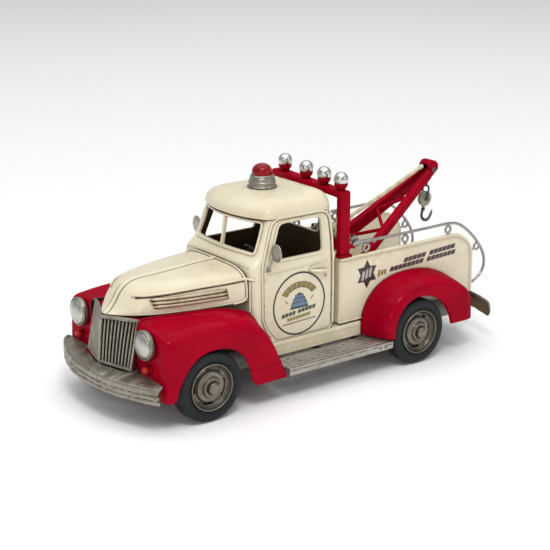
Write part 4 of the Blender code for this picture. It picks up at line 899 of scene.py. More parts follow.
def wheel_pieces(side, x, end):
    label = f"{end}_{'left' if side > 0 else 'right'}"
    body = f"{end}_wheels"
    centre = (x, 0.0, WHEEL_R)
    low, high = TYRE_IN, TYRE_OUT
    half = [
        (16.25, 1.5), (16.45, 0.95), (16.9, 0.45), (17.5, 0.2), (17.95, 0.16), (18.1, 0.42), (18.35, 0.42), (18.5, 0.1),
        (19.4, 0.0), (20.6, 0.0), (21.7, 0.16), (22.5, 0.5), (23.1, 1.05), (23.5, 1.7), (23.8, 2.5), (23.95, 3.4), (24.0, 4.6),
    ]
    outer = soften([(r, side * (high - d)) for r, d in half], 0.3, 3, closed=False)
    inner = soften([(r, side * (low + d)) for r, d in half], 0.3, 3, closed=False)
    grooves = []
    for at in (0.36, 0.64):
        level = high - 4.6 + (low - high + 9.2) * at
        grooves += [(24.0, side * (level + 0.5)), (23.7, side * (level + 0.3)), (23.7, side * (level - 0.3)), (24.0, side * (level - 0.5))]
    ring = outer + grooves + inner[::-1]
    piece(f"wheel_tyre_{label}", lathe(ring, "y", centre, 112, ring=True), RUBBER, body, [f"tyre_{label}"], 50)

    rim = [
        (1.9, 55.0), (3.3, 55.0), (3.3, 58.4), (9.8, 57.2), (13.4, 57.4), (15.0, 60.4), (15.0, low + 1.4), (16.15, low + 1.4),
        (16.15, 62.5), (15.7, 63.1), (15.1, 62.9), (14.6, 61.0), (13.6, 59.4), (12.9, 58.8), (10.9, 58.8), (10.2, 60.6), (9.4, 60.9),
        (7.5, 61.0), (7.0, 61.7), (6.7, 63.0), (5.9, 63.4), (4.9, 63.35), (4.6, 63.05), (1.9, 63.0),
    ]
    shape = lathe([(r, side * a) for r, a in soften(rim, 0.34, 4)], "y", centre, 96, ring=True)
    dish = raw(f"wheel_rim_{label}", shape)
    windows = []
    for k in range(4):
        mid = math.pi / 2 * k + 0.25
        edge = []
        for t in np.linspace(-0.5, 0.5, 15):
            edge.append((12.75, mid + t))
        for t in np.linspace(0.5, -0.5, 15):
            edge.append((11.15, mid + t))
        flat = [(x + r * math.cos(a), WHEEL_R + r * math.sin(a)) for r, a in soften([(r * 1.0, a) for r, a in edge], 0.05, 2)]
        windows.append(prism(flat, "y", *sorted((side * 54.0, side * 61.5))))
    carve(dish, windows)
    dress(dish, RIM_METAL, body, [f"rim_{label}"], 34)
    studs = [rivet((x + 5.75 * math.cos(a), side * 63.1, WHEEL_R + 5.75 * math.sin(a)), 0.42, "y", side, 0.4) for a in (2 * math.pi * k / 5 for k in range(5))]
    piece(f"wheel_studs_{label}", merged(*studs), RIM_METAL, body, (), 50)
    cap = [(0.0, 63.2), (4.15, 63.2), (4.2, 64.4), (3.95, 65.4), (3.2, 66.0), (2.2, 66.25), (1.5, 66.1), (0.9, 66.25), (0.0, 66.35)]
    piece(
        f"wheel_cap_{label}", lathe([(r, side * a) for r, a in soften(cap, 0.3, 4, closed=False)], "y", centre, 56),
        RIM_METAL, body, [f"hub_cap_{label}"], 50,
    )


def axle_pieces():
    for end, x in (("front", AXLE_X), ("rear", -AXLE_X)):
        rod = [(0.0, -AXLE_END), (1.3, -AXLE_END), (AXLE_R, -AXLE_END + 0.4), (AXLE_R, AXLE_END - 0.4), (1.3, AXLE_END), (0.0, AXLE_END)]
        collars = []
        for y in (-38.6, 38.6, -46.5, 46.5):
            collars.append(lathe([(AXLE_R - 0.2, y - 0.8), (2.8, y - 0.8), (3.1, y - 0.4), (3.1, y + 0.4), (2.8, y + 0.8), (AXLE_R - 0.2, y + 0.8)], "y", (x, 0, WHEEL_R), 32, ring=True))
        piece(f"axle_{end}", merged(lathe(rod, "y", (x, 0, WHEEL_R), 32), *collars), STEEL, f"{end}_wheels", [f"{end}_axle"], 50)


def underside():
    wide, web = 36.0, 1.4
    channel = soften([
        (-wide, 18.6), (-wide, 33.2), (wide, 33.2), (wide, 18.6),
        (wide - web, 18.6), (wide - web, 33.2 - web), (-wide + web, 33.2 - web), (-wide + web, 18.6),
    ], 0.7, 4)
    frame_rail = raw("chassis_channel", prism(channel, "x", -158.0, 121.0))
    cutters = []
    for x in (AXLE_X, -AXLE_X):
        cutters.append(lathe([(0.0, -50.0), (AXLE_R + 0.35, -50.0), (AXLE_R + 0.35, 50.0), (0.0, 50.0)], "y", (x, 0, WHEEL_R), 32))
    for k in range(6):
        x = -130.0 + k * 44.0
        if abs(abs(x) - AXLE_X) < 12:
            x += 16
        cutters.append(lathe([(0.0, 25.0), (6.0, 25.0), (6.0, 40.0), (0.0, 40.0)], "z", (x, 0, 0), 32))
    carve(frame_rail, cutters)
    dress(frame_rail, STEEL, "truck", ["chassis"], 34)
    top, low, wide, web = 34.3, 23.9, 41.3, 0.8
    tray = soften([
        (wide, low), (wide, top), (-wide, top), (-wide, low),
        (-wide + web, low), (-wide + web, top - web), (wide - web, top - web), (wide - web, low),
    ], 0.9, 5)
    piece("sill_panel", prism(tray, "x", -52.0, 36.0), CREAM, "truck", ["sill_tray"], 36)
    for side, label in ((1, "left"), (-1, "right")):
        bead = tube([(x, side * 41.3, 31.9) for x in np.linspace(-50.5, 30.0, 40)], 0.42, 12)
        low_bead = tube([(x, side * 41.25, 25.0) for x in np.linspace(-50.5, 26.0, 40)], 0.5, 12)
        piece(f"sill_bead_{label}", merged(bead, low_bead), CREAM, "truck", (), 60)


# ------------------------------------------------------------------ hood and nose


def hood_column(x, share):
    """The hood's turn angle for a share of its half width, from 1 at the edge to 0 in the middle."""
    full = smooth_table(x, HOOD_FULLNESS)
    return math.acos(min(1.0, share ** (full / 2.0)))


def hood_rows(stations, lift=0.0):
    shares = [1.0, 0.999, 0.996, 0.99, 0.98, 0.965, 0.945, 0.92, 0.89, 0.855, 0.815, 0.77, 0.72, 0.665, 0.61, 0.55, 0.49, 0.43, 0.37, 0.31, 0.26, 0.22, 0.185, 0.155]
    fine = [4.2, 3.5, 3.1, 2.85, 2.65, 2.5, 2.38, 2.26, 2.14, 2.0, 1.85, 1.7, 1.5, 1.25, 0.9, 0.5, 0.0]
    rows = []
    for x in stations:
        width = smooth_table(x, HOOD_WIDTH)
        half = [hood_column(x, s) for s in shares]
        top_share = shares[-1]
        for y in fine:
            share = min(y / max(width, 0.01), top_share * (0.2 + 0.8 * y / 4.2))
            half.append(hood_column(x, share))
        row = []
        for turn in half:
            px, py, pz = hood_point(x, turn, lift)
            row.append((px, py, pz + crest(py, x)))
        mirror_row = [(px, -py, pz) for px, py, pz in row[:-1][::-1]]
        rows.append(row + mirror_row)
    return rows


def crest(y, x):
    """The raised bead down the middle of the hood, with a fine groove on each side."""
    bead = 0.85 * math.exp(-((abs(y) / 2.0) ** 6)) + 0.25 * math.exp(-((y / 1.1) ** 2))
    groove = 0.5 * math.exp(-(((abs(y) - 2.5) / 0.3) ** 2))
    return (bead - groove) * min(1.0, max(0.0, (132.8 - x) / 2.4))


def hood_pieces():
    stations = [44.4] + list(np.linspace(45.4, 104, 40)) + list(np.linspace(105, 122, 26)) + list(np.linspace(122.5, 132.9, 30))
    hood = raw("hood_panel", sheet(hood_rows(stations), -1.0))
    dress(hood, CREAM, "truck", ["hood"], 48)
    for side, label in ((1, "left"), (-1, "right")):
        flip = (lambda s: s) if side > 0 else mirrored
        hem = [hood_side(x, smooth_table(x, HOOD_BASE) + 0.5, 0.2) for x in np.linspace(56.0, 119.4, 50)]
        piece(f"hood_hem_{label}", flip(tube(hem, 0.5, 12)), CREAM, "truck", (), 60)
        knots = ((118.6, 78.3), (112.0, 79.2), (104.0, 79.9), (92.0, 80.8), (76.0, 81.6), (60.0, 82.0), (45.6, 82.2))
        rod = curve_through([hood_side(x, z, 0.75) for x, z in knots] + [(42.6, 38.6, 81.9), (40.2, 40.9, 81.6)], 60)
        radii = [0.95 * min(1.0, 0.35 + 0.65 * (k / 5)) if k < 5 else 0.95 for k in range(60)]
        piece(f"hood_rod_{label}", flip(tube(rod, radii, 14)), CREAM, "truck", [f"hood_trim_{label}"], 60)
        rods = []
        for n, (z0, z1, x0, x1) in enumerate(((77.0, 77.9, 111.6, 61.0), (74.9, 75.6, 111.0, 60.4), (72.8, 73.2, 110.2, 60.0))):
            line = []
            count = 44
            for k in range(count):
                t = k / (count - 1)
                line.append(hood_side(x0 + (x1 - x0) * t, z0 + (z1 - z0) * t, 0.75))
            radii = [1.0 * min(1.0, (0.25 + k / 4), (0.25 + (count - 1 - k) / 4)) for k in range(count)]
            rods.append(tube(line, radii, 14))
        piece(f"hood_side_rods_{label}", flip(merged(*rods)), CREAM_ROD, "truck", [f"hood_louvres_{label}"], 60)
        # a dark brown plate across the louvre band: painted shade of the louvre slots
        plate_rows = []
        for k in range(30):
            t = k / 29
            x = 109.4 - 49.4 * t
            top, low = 77.8 + 0.7 * t, 71.8 + 0.4 * t
            outer = [hood_side(x, top + (low - top) * v, 0.22) for v in np.linspace(0, 1, 9)]
            inner = [hood_side(x, top + (low - top) * v, -0.3) for v in np.linspace(1, 0, 9)]
            plate_rows.append(outer + inner)
        piece(f"hood_side_plate_{label}", flip(loft(plate_rows)), CREAM_LOUVRE_SHADE, "truck", (), 50)


def hood_trims():
    """The rolled rear edge of the hood, and dark brown lines under its roll, in its grooves and under its side rods:
    brown wash and painted shade.
    """
    roll = [hood_point(45.3, turn, 0.15) for turn in np.linspace(0.16, math.pi - 0.16, 90)]
    sweep = [(45.5, 38.55, 70.8), (46.2, 38.5, 69.2), (48.2, 38.4, 68.1), (51.6, 38.3, 67.7), (56.0, 38.1, 67.6)]
    left = curve_through([roll[3], roll[0]] + sweep, 30)
    right = [(x, -y, z) for x, y, z in left]
    line = right[::-1][:-6] + [p for p in roll[::-1][3:-3]] + left[6:]
    piece("hood_rear_roll", tube(line, 0.85, 14), CREAM, "truck", (), 60)
    lines = [tube([(x - 0.1, y * 0.988, z - 0.45) for x, y, z in line], 1.2, 12)]
    for side in (1, -1):
        groove = []
        for x in np.linspace(46.2, 132.2, 110):
            width = smooth_table(x, HOOD_WIDTH)
            if width < 3.2:
                break
            px, py, pz = hood_point(x, hood_column(x, 2.5 / width))
            groove.append((px, side * py, pz - 0.42))
        lines.append(tube(groove, 0.44, 10))
    piece("hood_wash_and_shade_lines", merged(*lines), WASH_AND_SHADE, "truck", (), 60)
    for side, label in ((1, "left"), (-1, "right")):
        flip = (lambda s: s) if side > 0 else mirrored
        knots = ((117.4, 78.4), (112.0, 79.2), (104.0, 79.9), (92.0, 80.8), (76.0, 81.6), (60.0, 82.0), (46.6, 82.2))
        # dark brown tubes tucked under each side rod: painted shade with brown wash
        under = [tube(curve_through([hood_side(x, z - 0.5, 0.05) for x, z in knots], 60), 0.95, 12)]
        for z0, z1, x0, x1 in ((77.0, 77.9, 110.4, 60.6), (74.9, 75.6, 109.8, 60.0), (72.8, 73.2, 109.0, 59.6)):
            under.append(tube([hood_side(x0 + (x1 - x0) * t, z0 + (z1 - z0) * t - 0.45, 0.1) for t in np.linspace(0, 1, 40)], 1.0, 12))
        piece(f"hood_side_wash_{label}", flip(merged(*under)), WASH_AND_SHADE, "truck", (), 60)


def grille_line(y, level):
    """X of the grille's face at this y, from 0 at the bottom to 1 at the top."""
    low = table(abs(y), GRILLE_LOW)
    top = table(abs(y), GRILLE_TOP)
    return low + (top - low) * level


def nose_pieces():
    low_z, top_z = 33.6, 65.4
    # a dark backing behind the bars: painted shade of the grille's gaps
    back = []
    for z in np.linspace(low_z + 0.4, top_z - 0.6, 8):
        level = (z - low_z) / (top_z - low_z)
        ys = list(np.linspace(-26.6, 26.6, 41))
        front = [(grille_line(y, level) - 0.7, y, z + 0.05 * abs(y) * level) for y in ys]
        rear = [(grille_line(y, level) - 1.7, y, z + 0.05 * abs(y) * level) for y in ys[::-1]]
        back.append(front + rear)
    piece("grille_back", loft(back), GRILLE_GAP_SHADE, "truck", ["grille"], 40)
    bars, shade = [], []
    gap = 2.72
    for side in (1, -1):
        for k in range(9):
            y = side * (2.9 + k * gap)
            path = []
            for z in np.linspace(low_z, top_z - 0.2, 14):
                level = (z - low_z) / (top_z - low_z)
                bow = 0.35 * math.sin(math.pi * level)
                path.append((grille_line(y, level) + 0.25 + bow, y, z + 0.05 * abs(y) * level))
            radii = [0.68 if 0 < i < 13 else 0.5 for i in range(14)]
            bars.append(tube(path, radii, 14))
            # a dark tube on each bar's inner flank: painted shade of the gap between the bars
            shade.append(tube([(px + 0.1, py - side * 0.62, pz) for px, py, pz in path[1:-1]], 0.3, 10))
    middle = []
    for z in np.linspace(low_z - 1.2, top_z - 0.2, 14):
        level = (z - low_z) / (top_z - low_z)
        middle.append((grille_line(0, level) + 0.35 + 0.35 * math.sin(math.pi * level), 0.0, z))
    bars.append(tube(middle, 1.25, 18))
    piece("grille_bars", merged(*bars), PEWTER, "truck", (), 60)
    piece("grille_shade", merged(*shade), GRILLE_GAP_SHADE, "truck", (), 60)
    loops = []
    for y in np.linspace(-28.7, 28.7, 81):
        x = grille_line(min(abs(y), 27.6), 1.0) + 0.35
        z = top_z - 0.7 + 0.05 * abs(y) + max(0.0, abs(y) - 23.0) * 0.12
        tip = 1.0 - max(0.0, (abs(y) - 21.5) / 7.6) ** 1.3
        peak = 0.55 * math.exp(-((y / 3.2) ** 2))
        section = [(-1.7, -1.15), (1.0, -1.25), (1.75, -0.7), (1.85, 0.1), (1.3, 0.75), (0.2, 1.15), (-1.7, 1.05)]
        loops.append([(x + a * (0.35 + 0.65 * tip) + peak, y, z + b * (0.3 + 0.7 * tip)) for a, b in soften(section, 0.5, 4)])
    piece("grille_rail", loft(loops), PEWTER, "truck", (), 50)
    loops = []
    for y in np.linspace(-27.4, 27.4, 57):
        x = grille_line(y, 0.02)
        section = soften([(-1.4, -0.9), (1.1, -0.9), (1.35, 0.0), (0.9, 0.8), (-1.4, 0.8)], 0.4, 4)
        loops.append([(x + a, y, low_z + 0.9 + b) for a, b in section])
    piece("grille_sill", loft(loops), PEWTER, "truck", (), 50)
    side_posts = []
    for side in (1, -1):
        path = []
        for z in np.linspace(low_z, top_z - 0.6, 14):
            level = (z - low_z) / (top_z - low_z)
            path.append((grille_line(26.9, level) - 0.1, side * 26.9, z + 1.3 * level))
        side_posts.append(tube(path, 1.0, 16))
    piece("grille_sides", merged(*side_posts), PEWTER, "truck", (), 60)
    shelf = [(grille_line(y, 1.0) - 1.9, y) for y in np.linspace(-28.2, 28.2, 41)]
    shelf = shelf + [(103.0, 28.2), (103.0, -28.2)]
    piece("nose_shelf", loft([[(x, y, z) for x, y in shelf] for z in (64.7, 65.5)]), RED, "truck", (), 40, 0.15)
    # the painted valance between the grille and the fenders, in a darker copy of the red enamel as painted shade
    for side, label in ((1, "left"), (-1, "right")):
        rows = []
        for z in np.linspace(34.0, 65.6, 16):
            level = (z - 34.0) / 31.6
            row = []
            for y in (27.9, 28.3):
                row.append((grille_line(26.0, level) - 0.9, side * y, z))
            rows.append([(row[0][0], row[0][1], z), (row[1][0], row[1][1], z), (112.0, side * 28.3, z), (112.0, side * 27.9, z)])
        piece(f"nose_cheek_{label}", loft(rows), RED_RECESS_SHADE, "truck", (), 50, 0.1)


def bumper_pieces():
    loops = []
    for y in np.linspace(-63.4, 63.4, 121):
        face = bumper_x(y, 147.0, 129.4, 63.4)
        end = abs(y) / 63.4
        back = 126.2 if abs(y) > 29.5 else table(abs(y), [(0.0, 138.9), (28.0, 131.7), (29.5, 128.6)])
        back = min(back, face - 1.6)
        top = 31.6 - 0.4 * end
        low = 20.6
        apron = max(top + (33.4 - top) * min(1.0, (face - back) / 6.0), top - 1.0)
        section = [
            (face - 1.8, low), (face - 0.5, low), (face + 0.0, low + 0.8), (face - 0.1, low + 2.2), (face - 0.75, low + 2.9),
            (face - 0.1, low + 3.7), (face - 0.05, low + 5.3), (face - 0.75, low + 6.1), (face - 0.1, low + 6.9),
            (face - 0.15, top - 1.2), (face - 0.9, top - 0.2), (face - 1.9, top + 0.1), (back, apron), (back, apron - 1.1),
            (face - 2.5, top - 1.3), (face - 1.9, top - 2.6),
        ]
        loops.append([(a, y, b) for a, b in soften(section, 0.35, 3)])
    bar = ripple(raw("bumper_front", loft(loops)), 0.42, 4.6, 3.0)
    dress(bar, BUMPER_METAL, "truck", ["front_bumper"], 50)
    work = bmesh.new()
    work.from_mesh(bar.data)
    bmesh.ops.delete(work, geom=[v for v in work.verts if not v.link_faces], context="VERTS")
    work.to_mesh(bar.data)
    work.free()
    # dark brown lines in the bumper's grooves: brown wash and painted shade
    lines = []
    for lift in (2.9, 6.1):
        path = [(bumper_x(y, 147.0, 129.4, 63.4) - 0.95, y, 20.6 + lift) for y in np.linspace(-62.6, 62.6, 120)]
        lines.append(tube(path, [0.42 + 0.16 * math.sin(k * 1.7) * math.sin(k * 0.43) for k in range(120)], 10))
    piece("bumper_front_wash_and_shade", merged(*lines), WASH_AND_SHADE, "truck", (), 60)
    loops = []
    for y in np.linspace(-60.6, 60.6, 101):
        face = bumper_x(y, -176.0, -163.6, 60.6)
        low, top = 19.4, 31.4
        section = [
            (face + 1.6, low), (face + 0.6, low), (face, low + 1.0), (face + 0.1, low + 3.2), (face + 0.7, low + 4.0), (face + 0.1, low + 4.8),
            (face + 0.1, low + 6.6), (face + 0.7, low + 7.4), (face + 0.1, low + 8.2), (face + 0.1, top - 1.2), (face + 0.8, top), (face + 2.4, top), (face + 2.4, top - 1.2), (face + 1.6, top - 2.0),
        ]
        ends = max(0.0, (abs(y) / 60.6 - 0.93) / 0.07)
        close = max(0.32, math.sqrt(max(0.0, 1 - ends ** 2)))
        loops.append([(a, y, 25.4 + (b - 25.4) * close) for a, b in soften(section, 0.35, 3)])
    arms = [box(-174.0, -158.6, s * 20 - 3, s * 20 + 3, 23.0, 27.4) for s in (1, -1)]
    rear = ripple(raw("bumper_rear", loft(loops)), 0.3, 4.6, 9.0)
    dress(rear, BUMPER_METAL, "truck", ["rear_bumper"], 50)
    loops = []
    for y in np.linspace(-59.8, 59.8, 91):
        face = bumper_x(y, -176.0, -163.6, 60.6)
        ends = max(0.0, (abs(y) / 60.6 - 0.93) / 0.07)
        close = max(0.3, math.sqrt(max(0.0, 1 - ends ** 2)))
        section = [(face + 1.5, 19.9), (face + 2.0, 19.9), (face + 2.05, 28.0), (face + 2.0, 29.6), (face + 1.5, 29.9)]
        loops.append([(a, y, 25.4 + (b - 25.4) * close) for a, b in soften(section, 0.2, 3)])
    piece("bumper_rear_inside", loft(loops), BRONZE, "truck", (), 50)
    piece("bumper_rear_arms", merged(*arms), STEEL, "truck", (), 40, 0.4)


def lamp_pieces():
    for side, label in ((1, "left"), (-1, "right")):
        centre = (0.0, side * 42.2, 55.2)
        shell = [(0.0, 125.15), (8.4, 125.15), (9.5, 125.6), (9.9, 126.6), (10.0, 128.4), (9.8, 129.2), (9.35, 129.6), (8.9, 129.6), (8.7, 129.2), (8.65, 128.6), (0.0, 128.4)]
        piece(f"lamp_bezel_{label}", lathe(soften(shell, 0.3, 4, closed=False), "x", centre, 72), PEWTER, "truck", [f"headlight_{label}"], 50)
        glass = [(0.0, 128.5), (8.6, 128.6)]
        for k in range(25):
            r = 8.6 * (1 - k / 24)
            glass.append((r if k < 24 else 0.0, 129.1 + 3.0 * (1 - (r / 8.7) ** 2) ** 0.62))
        points, faces = lathe(glass, "x", centre, 72)
        ridged = []
        for px, py, pz in points:
            away = py - centre[1]
            bend = 0.35 * math.exp(-(((away - side * 1.2) / 1.5) ** 2)) * max(0.0, 1 - ((pz - centre[2]) / 8.0) ** 2)
            ridged.append((px + (bend if px > 129.3 else 0.0), py, pz))
        piece(f"lamp_lens_{label}", (ridged, faces), LENS, "truck", (), 60)
        screws = [rivet((129.3, side * 42.2 + 9.2 * math.cos(a), 55.2 + 9.2 * math.sin(a)), 0.4, "x", 1, 0.35) for a in (math.pi / 2, -math.pi / 2)]
        piece(f"lamp_screws_{label}", merged(*screws), PEWTER, "truck", (), 50)
        stem = [(0.0, 124.9), (2.9, 124.9), (3.1, 125.5), (2.6, 126.1), (1.8, 126.4), (0.0, 126.4)]
        piece(f"marker_base_{label}", lathe(soften(stem, 0.3, 3, closed=False), "x", (0, side * 43.4, 38.8), 32), RED, "truck", (), 50)
        piece(f"marker_bulb_{label}", ball((128.1, side * 43.4, 38.8), 2.5, 1.0, 36, 24, "x"), AMBER, "truck", [f"marker_light_{label}"], 60)


# ------------------------------------------------------------------ fenders and boards


def surface_band(grid, level, out, keep):
    """Where a grid of points crosses the height `level`, as a line stood off by `out`."""
    arr = np.array(grid, float)
    along = np.gradient(arr, axis=0)
    across = np.gradient(arr, axis=1)
    normal = np.cross(along, across)
    normal /= np.maximum(np.linalg.norm(normal, axis=2, keepdims=True), 1e-9)
    line = []
    for j in range(arr.shape[1]):
        column = arr[:, j]
        for i in range(len(column) - 1):
            if not keep(column[i]):
                continue
            a, b = column[i][2], column[i + 1][2]
            if (a - level) * (b - level) <= 0 and abs(a - b) > 1e-9:
                t = (level - a) / (b - a)
                line.append(tuple(column[i] * (1 - t) + column[i + 1] * t + normal[i, j] * out))
                break
    return line


def fender_pieces():
    for side, label in ((1, "left"), (-1, "right")):
        flip = (lambda s: s) if side > 0 else mirrored
        grid = front_fender_grid(110, 46)
        panel = raw(f"fender_front_{label}", flip(sheet(grid, 1.0)))
        dress(panel, RED, "truck", [f"front_fender_{label}"], 50)
        lip = [grid[i][0] for i in range(len(grid))]
        lip = [(x, y - 0.5, z) for x, y, z in lip]
        seam = surface_band(grid, 28.6, 0.12, lambda p: p[0] < 62)
        flange = [(row[-1][0], row[-1][1] + 0.5, row[-1][2] + 0.1) for row in grid]
        beads = [tube(spread(lip, 1.2)[::1], 0.75, 12), tube(seam, 0.4, 10), tube(flange, 0.7, 12)]
        piece(f"fender_front_lip_{label}", flip(merged(*beads)), RED, "truck", (), 60)
        # a near-black red tube behind the front fender's flange: painted shade at the joint
        shade = [tube([(x, y - 0.9, z - 0.1) for x, y, z in flange], 0.75, 10)]
        piece(f"fender_front_wash_{label}", flip(merged(*shade)), RED_JOINT_SHADE, "truck", (), 60)
        grid = rear_fender_grid(100, 40)
        panel = raw(f"fender_rear_{label}", flip(sheet(grid, -1.0)))
        dress(panel, RED, "truck", [f"rear_fender_{label}"], 50)
        lip = [(p[0], p[1] - 0.5, p[2]) for p in (row[0] for row in grid)]
        flange = [(row[-1][0], row[-1][1] - 0.1, row[-1][2]) for row in grid]
        seam = surface_band(grid, 34.0, -0.12, lambda p: p[0] > -72)
        beads = [tube(lip, 0.75, 12), tube(flange, 0.55, 12)]
        if len(seam) > 4:
            beads.append(tube(seam, 0.38, 10))
        piece(f"fender_rear_lip_{label}", flip(merged(*beads)), RED, "truck", (), 60)
        # a near-black red tube where the rear fender meets the bed side: painted shade at the joint
        shade = [tube([(p[0], BODY_Y + 0.05, p[2]) for p in (row[-1] for row in grid)], 0.95, 10)]
        piece(f"fender_rear_wash_{label}", flip(merged(*shade)), RED_JOINT_SHADE, "truck", (), 60)


def board_pieces():
    for side, label in ((1, "left"), (-1, "right")):
        flip = (lambda s: s) if side > 0 else mirrored
        profile = [(42.0, 21.4), (42.0, 22.9), (43.2, 22.9), (43.6, 22.3)]
        for k in range(5):
            y = 44.0 + k * 3.55
            profile += [(y, 22.2), (y + 0.55, 23.0), (y + 1.9, 23.05), (y + 2.5, 22.2)]
        profile += [(61.6, 22.2), (62.0, 22.9), (63.3, 22.7), (63.8, 21.8), (63.7, 18.2), (63.2, 17.5), (62.5, 17.6), (62.4, 21.2)]
        outline = soften(profile, 0.4, 4)
        loops = [[(x, y, z) for y, z in outline] for x in np.linspace(-63.6, 28.2, 60)]
        board = ripple(raw(f"board_{label}", flip(loft(loops))), 0.1, 6.0, 5.0)
        slots = []
        for x in (-52.0, -56.5):
            slots.append(flip(box(x - 1.5, x + 1.5, 60.0, 66.0, 19.6, 20.4)))
        carve(board, slots)
        dress(board, RIBBED, "truck", [f"running_board_{label}"], 40)
        brackets = []
        for x in (-50.0, -16.0, 18.0):
            brackets.append(box(x - 2.5, x + 2.5, 36.2, 61.8, 20.2, 21.2))
        # dark brown lines between the ribs and under the lip: brown wash and painted shade
        lines = []
        for n, y in enumerate((43.75, 47.0, 50.55, 54.1, 57.65, 61.2)):
            path = [(x, y + 0.08 * math.sin(0.21 * x + n), 22.18) for x in np.linspace(-63.2, 27.8, 80)]
            lines.append(tube(path, [0.46 + 0.1 * math.sin(0.9 * k + 2 * n) for k in range(80)], 10))
        lines.append(tube([(x, 63.75, 21.2) for x in np.linspace(-63.0, 27.6, 60)], [0.22 + 0.1 * math.sin(0.8 * k) for k in range(60)], 8))
        piece(f"board_wash_{label}", flip(merged(*lines)), WASH_AND_SHADE, "truck", (), 60)
        piece(f"board_brackets_{label}", flip(merged(*brackets)), STEEL, "truck", (), 40, 0.2)


# ------------------------------------------------------------------ cab


def smooth_loop(points, step=0.9, passes=3, reach=2):
    """A closed outline resampled evenly and smoothed, so that it has no corners."""
    pts = np.array(spread(list(points), step, closed=True), float)
    for _ in range(passes):
        total = pts.copy()
        for k in range(1, reach + 1):
            total = total + np.roll(pts, k, axis=0) + np.roll(pts, -k, axis=0)
        pts = total / (2 * reach + 1)
    return [tuple(p) for p in pts]


def side_line(outline, side, out=0.0):
    """An (x, z) outline laid on the flank of the cab."""
    return [on_cab_side(x, z, out, side) for x, z in outline]


def upper_part(outline, low):
    """The run of a closed outline above the height `low`, in order."""
    pts = list(outline)
    flags = [p[1] >= low for p in pts]
    start = next(i for i in range(len(pts)) if flags[i] and not flags[i - 1])
    run = []
    for k in range(len(pts)):
        i = (start + k) % len(pts)
        if not flags[i]:
            break
        run.append(pts[i])
    return run


def fine_cab(inset=0.0, low=34.6, high=119.6, step=1.7):
    count = int((high - low) / step) + 2
    return loft([cab_outline(z, inset, 14) for z in np.linspace(low, high, count)])


def cab_cutters(grow=0.0):
    opening = soften(grown(DOOR_OUTLINE, 0.45 + grow), 2.2, 6)
    cutters = [prism(opening, "y", 30.0, 50.0), prism(opening, "y", -50.0, -30.0)]
    for side in (1, -1):
        pane = [(33.0, 97.4), (31.6, 116.6), (0.9, 116.6), (0.9, 97.4)]
        pane = soften([(side * y, z) for y, z in grown(pane, grow)], 1.3, 6)
        cutters.append(prism(pane, "x", 18.0, 60.0))
    cutters.append(prism(soften(grown(REAR_WINDOW, grow), 2.0, 5), "x", -40.0, -20.0))
    return cutters


def cab_pieces():
    shell = raw("cab_body", fine_cab())
    inner = fine_cab(1.5, 36.2, 123.0)
    carve(shell, [inner] + cab_cutters())
    dress(shell, CREAM, "truck", ["cab_shell"], 38, 0.22, 2)
    # the inside lining in a very dark copy of the cream: painted shade inside the cab
    lining = raw("cab_lining", fine_cab(1.55, 36.3, 119.4))
    carve(lining, [fine_cab(1.95, 36.8, 123.0)] + cab_cutters(0.5))
    dress(lining, CREAM_INSIDE_SHADE, "truck", (), 38)
    # rolled beads around the windscreen
    frame_line = soften([(33.9, 96.5), (32.5, 117.5), (-32.5, 117.5), (-33.9, 96.5)], 2.6, 8)
    frame_line = spread(frame_line, 1.5, closed=True)
    screen = tube([on_cab_front(y, z, 0.25) for y, z in frame_line], 0.95, 14, closed=True)
    bar = tube([on_cab_front(0.0, z, 0.25) for z in np.linspace(96.6, 117.6, 16)], [0.95 if 0 < k < 15 else 0.7 for k in range(16)], 14)
    piece("windscreen_frame", merged(screen, bar), CREAM, "truck", (), 60)
    cowl = []
    for y in np.linspace(-36.4, 36.4, 60):
        cowl.append(on_cab_front(y, 90.6 - 0.0009 * y * y, 0.15))
    piece("cowl_bead", tube(cowl, 0.55, 12), CREAM, "truck", (), 60)
    rear = spread(soften(grown(REAR_WINDOW, 0.8), 3.0, 6), 1.5, closed=True)
    back = [(smooth_table(z, CAB_BACK) - 0.2, y, z) for y, z in rear]
    piece("rear_window_frame", tube(back, 0.85, 12, closed=True), CREAM, "truck", (), 60)
    for side, label in ((1, "left"), (-1, "right")):
        outline = spread(soften(grown(DOOR_OUTLINE, 1.65), 3.4, 8), 1.4, closed=True)
        run = upper_part(outline, 38.5)
        beads = [tube(side_line(run, side, 0.15), 0.82, 14)]
        corner = []
        for z in np.linspace(38.0, 118.6, 60):
            wide, far = smooth_table(z, CAB_SIDE), smooth_table(z, CAB_BACK)
            swell = 0.9 * math.exp(-(((z - 87.4) / 2.6) ** 2))
            corner.append((far + 1.6 - swell * 0.3, side * (wide - 0.55 + swell * 0.4), z))
        beads.append(tube(corner, [0.95 + 0.5 * math.exp(-(((p[2] - 87.4) / 2.4) ** 2)) for p in corner], 14))
        piece(f"cab_beads_{label}", merged(*beads), CREAM, "truck", (), 60)
        # the small step where the cowl meets the hood
        step = []
        for z in np.linspace(60.0, 80.6, 30):
            step.append((43.4, side * (min(smooth_table(z, CAB_SIDE) - 1.6, 39.4)), z))
        piece(f"cowl_edge_{label}", tube(step, 0.7, 12), CREAM, "truck", (), 60)


def flat_patch(outline, side=1, y=BODY_Y, out=0.1, deep=0.06):
    low, high = sorted((side * (y - deep), side * (y + out)))
    return prism(outline, "y", low, high)


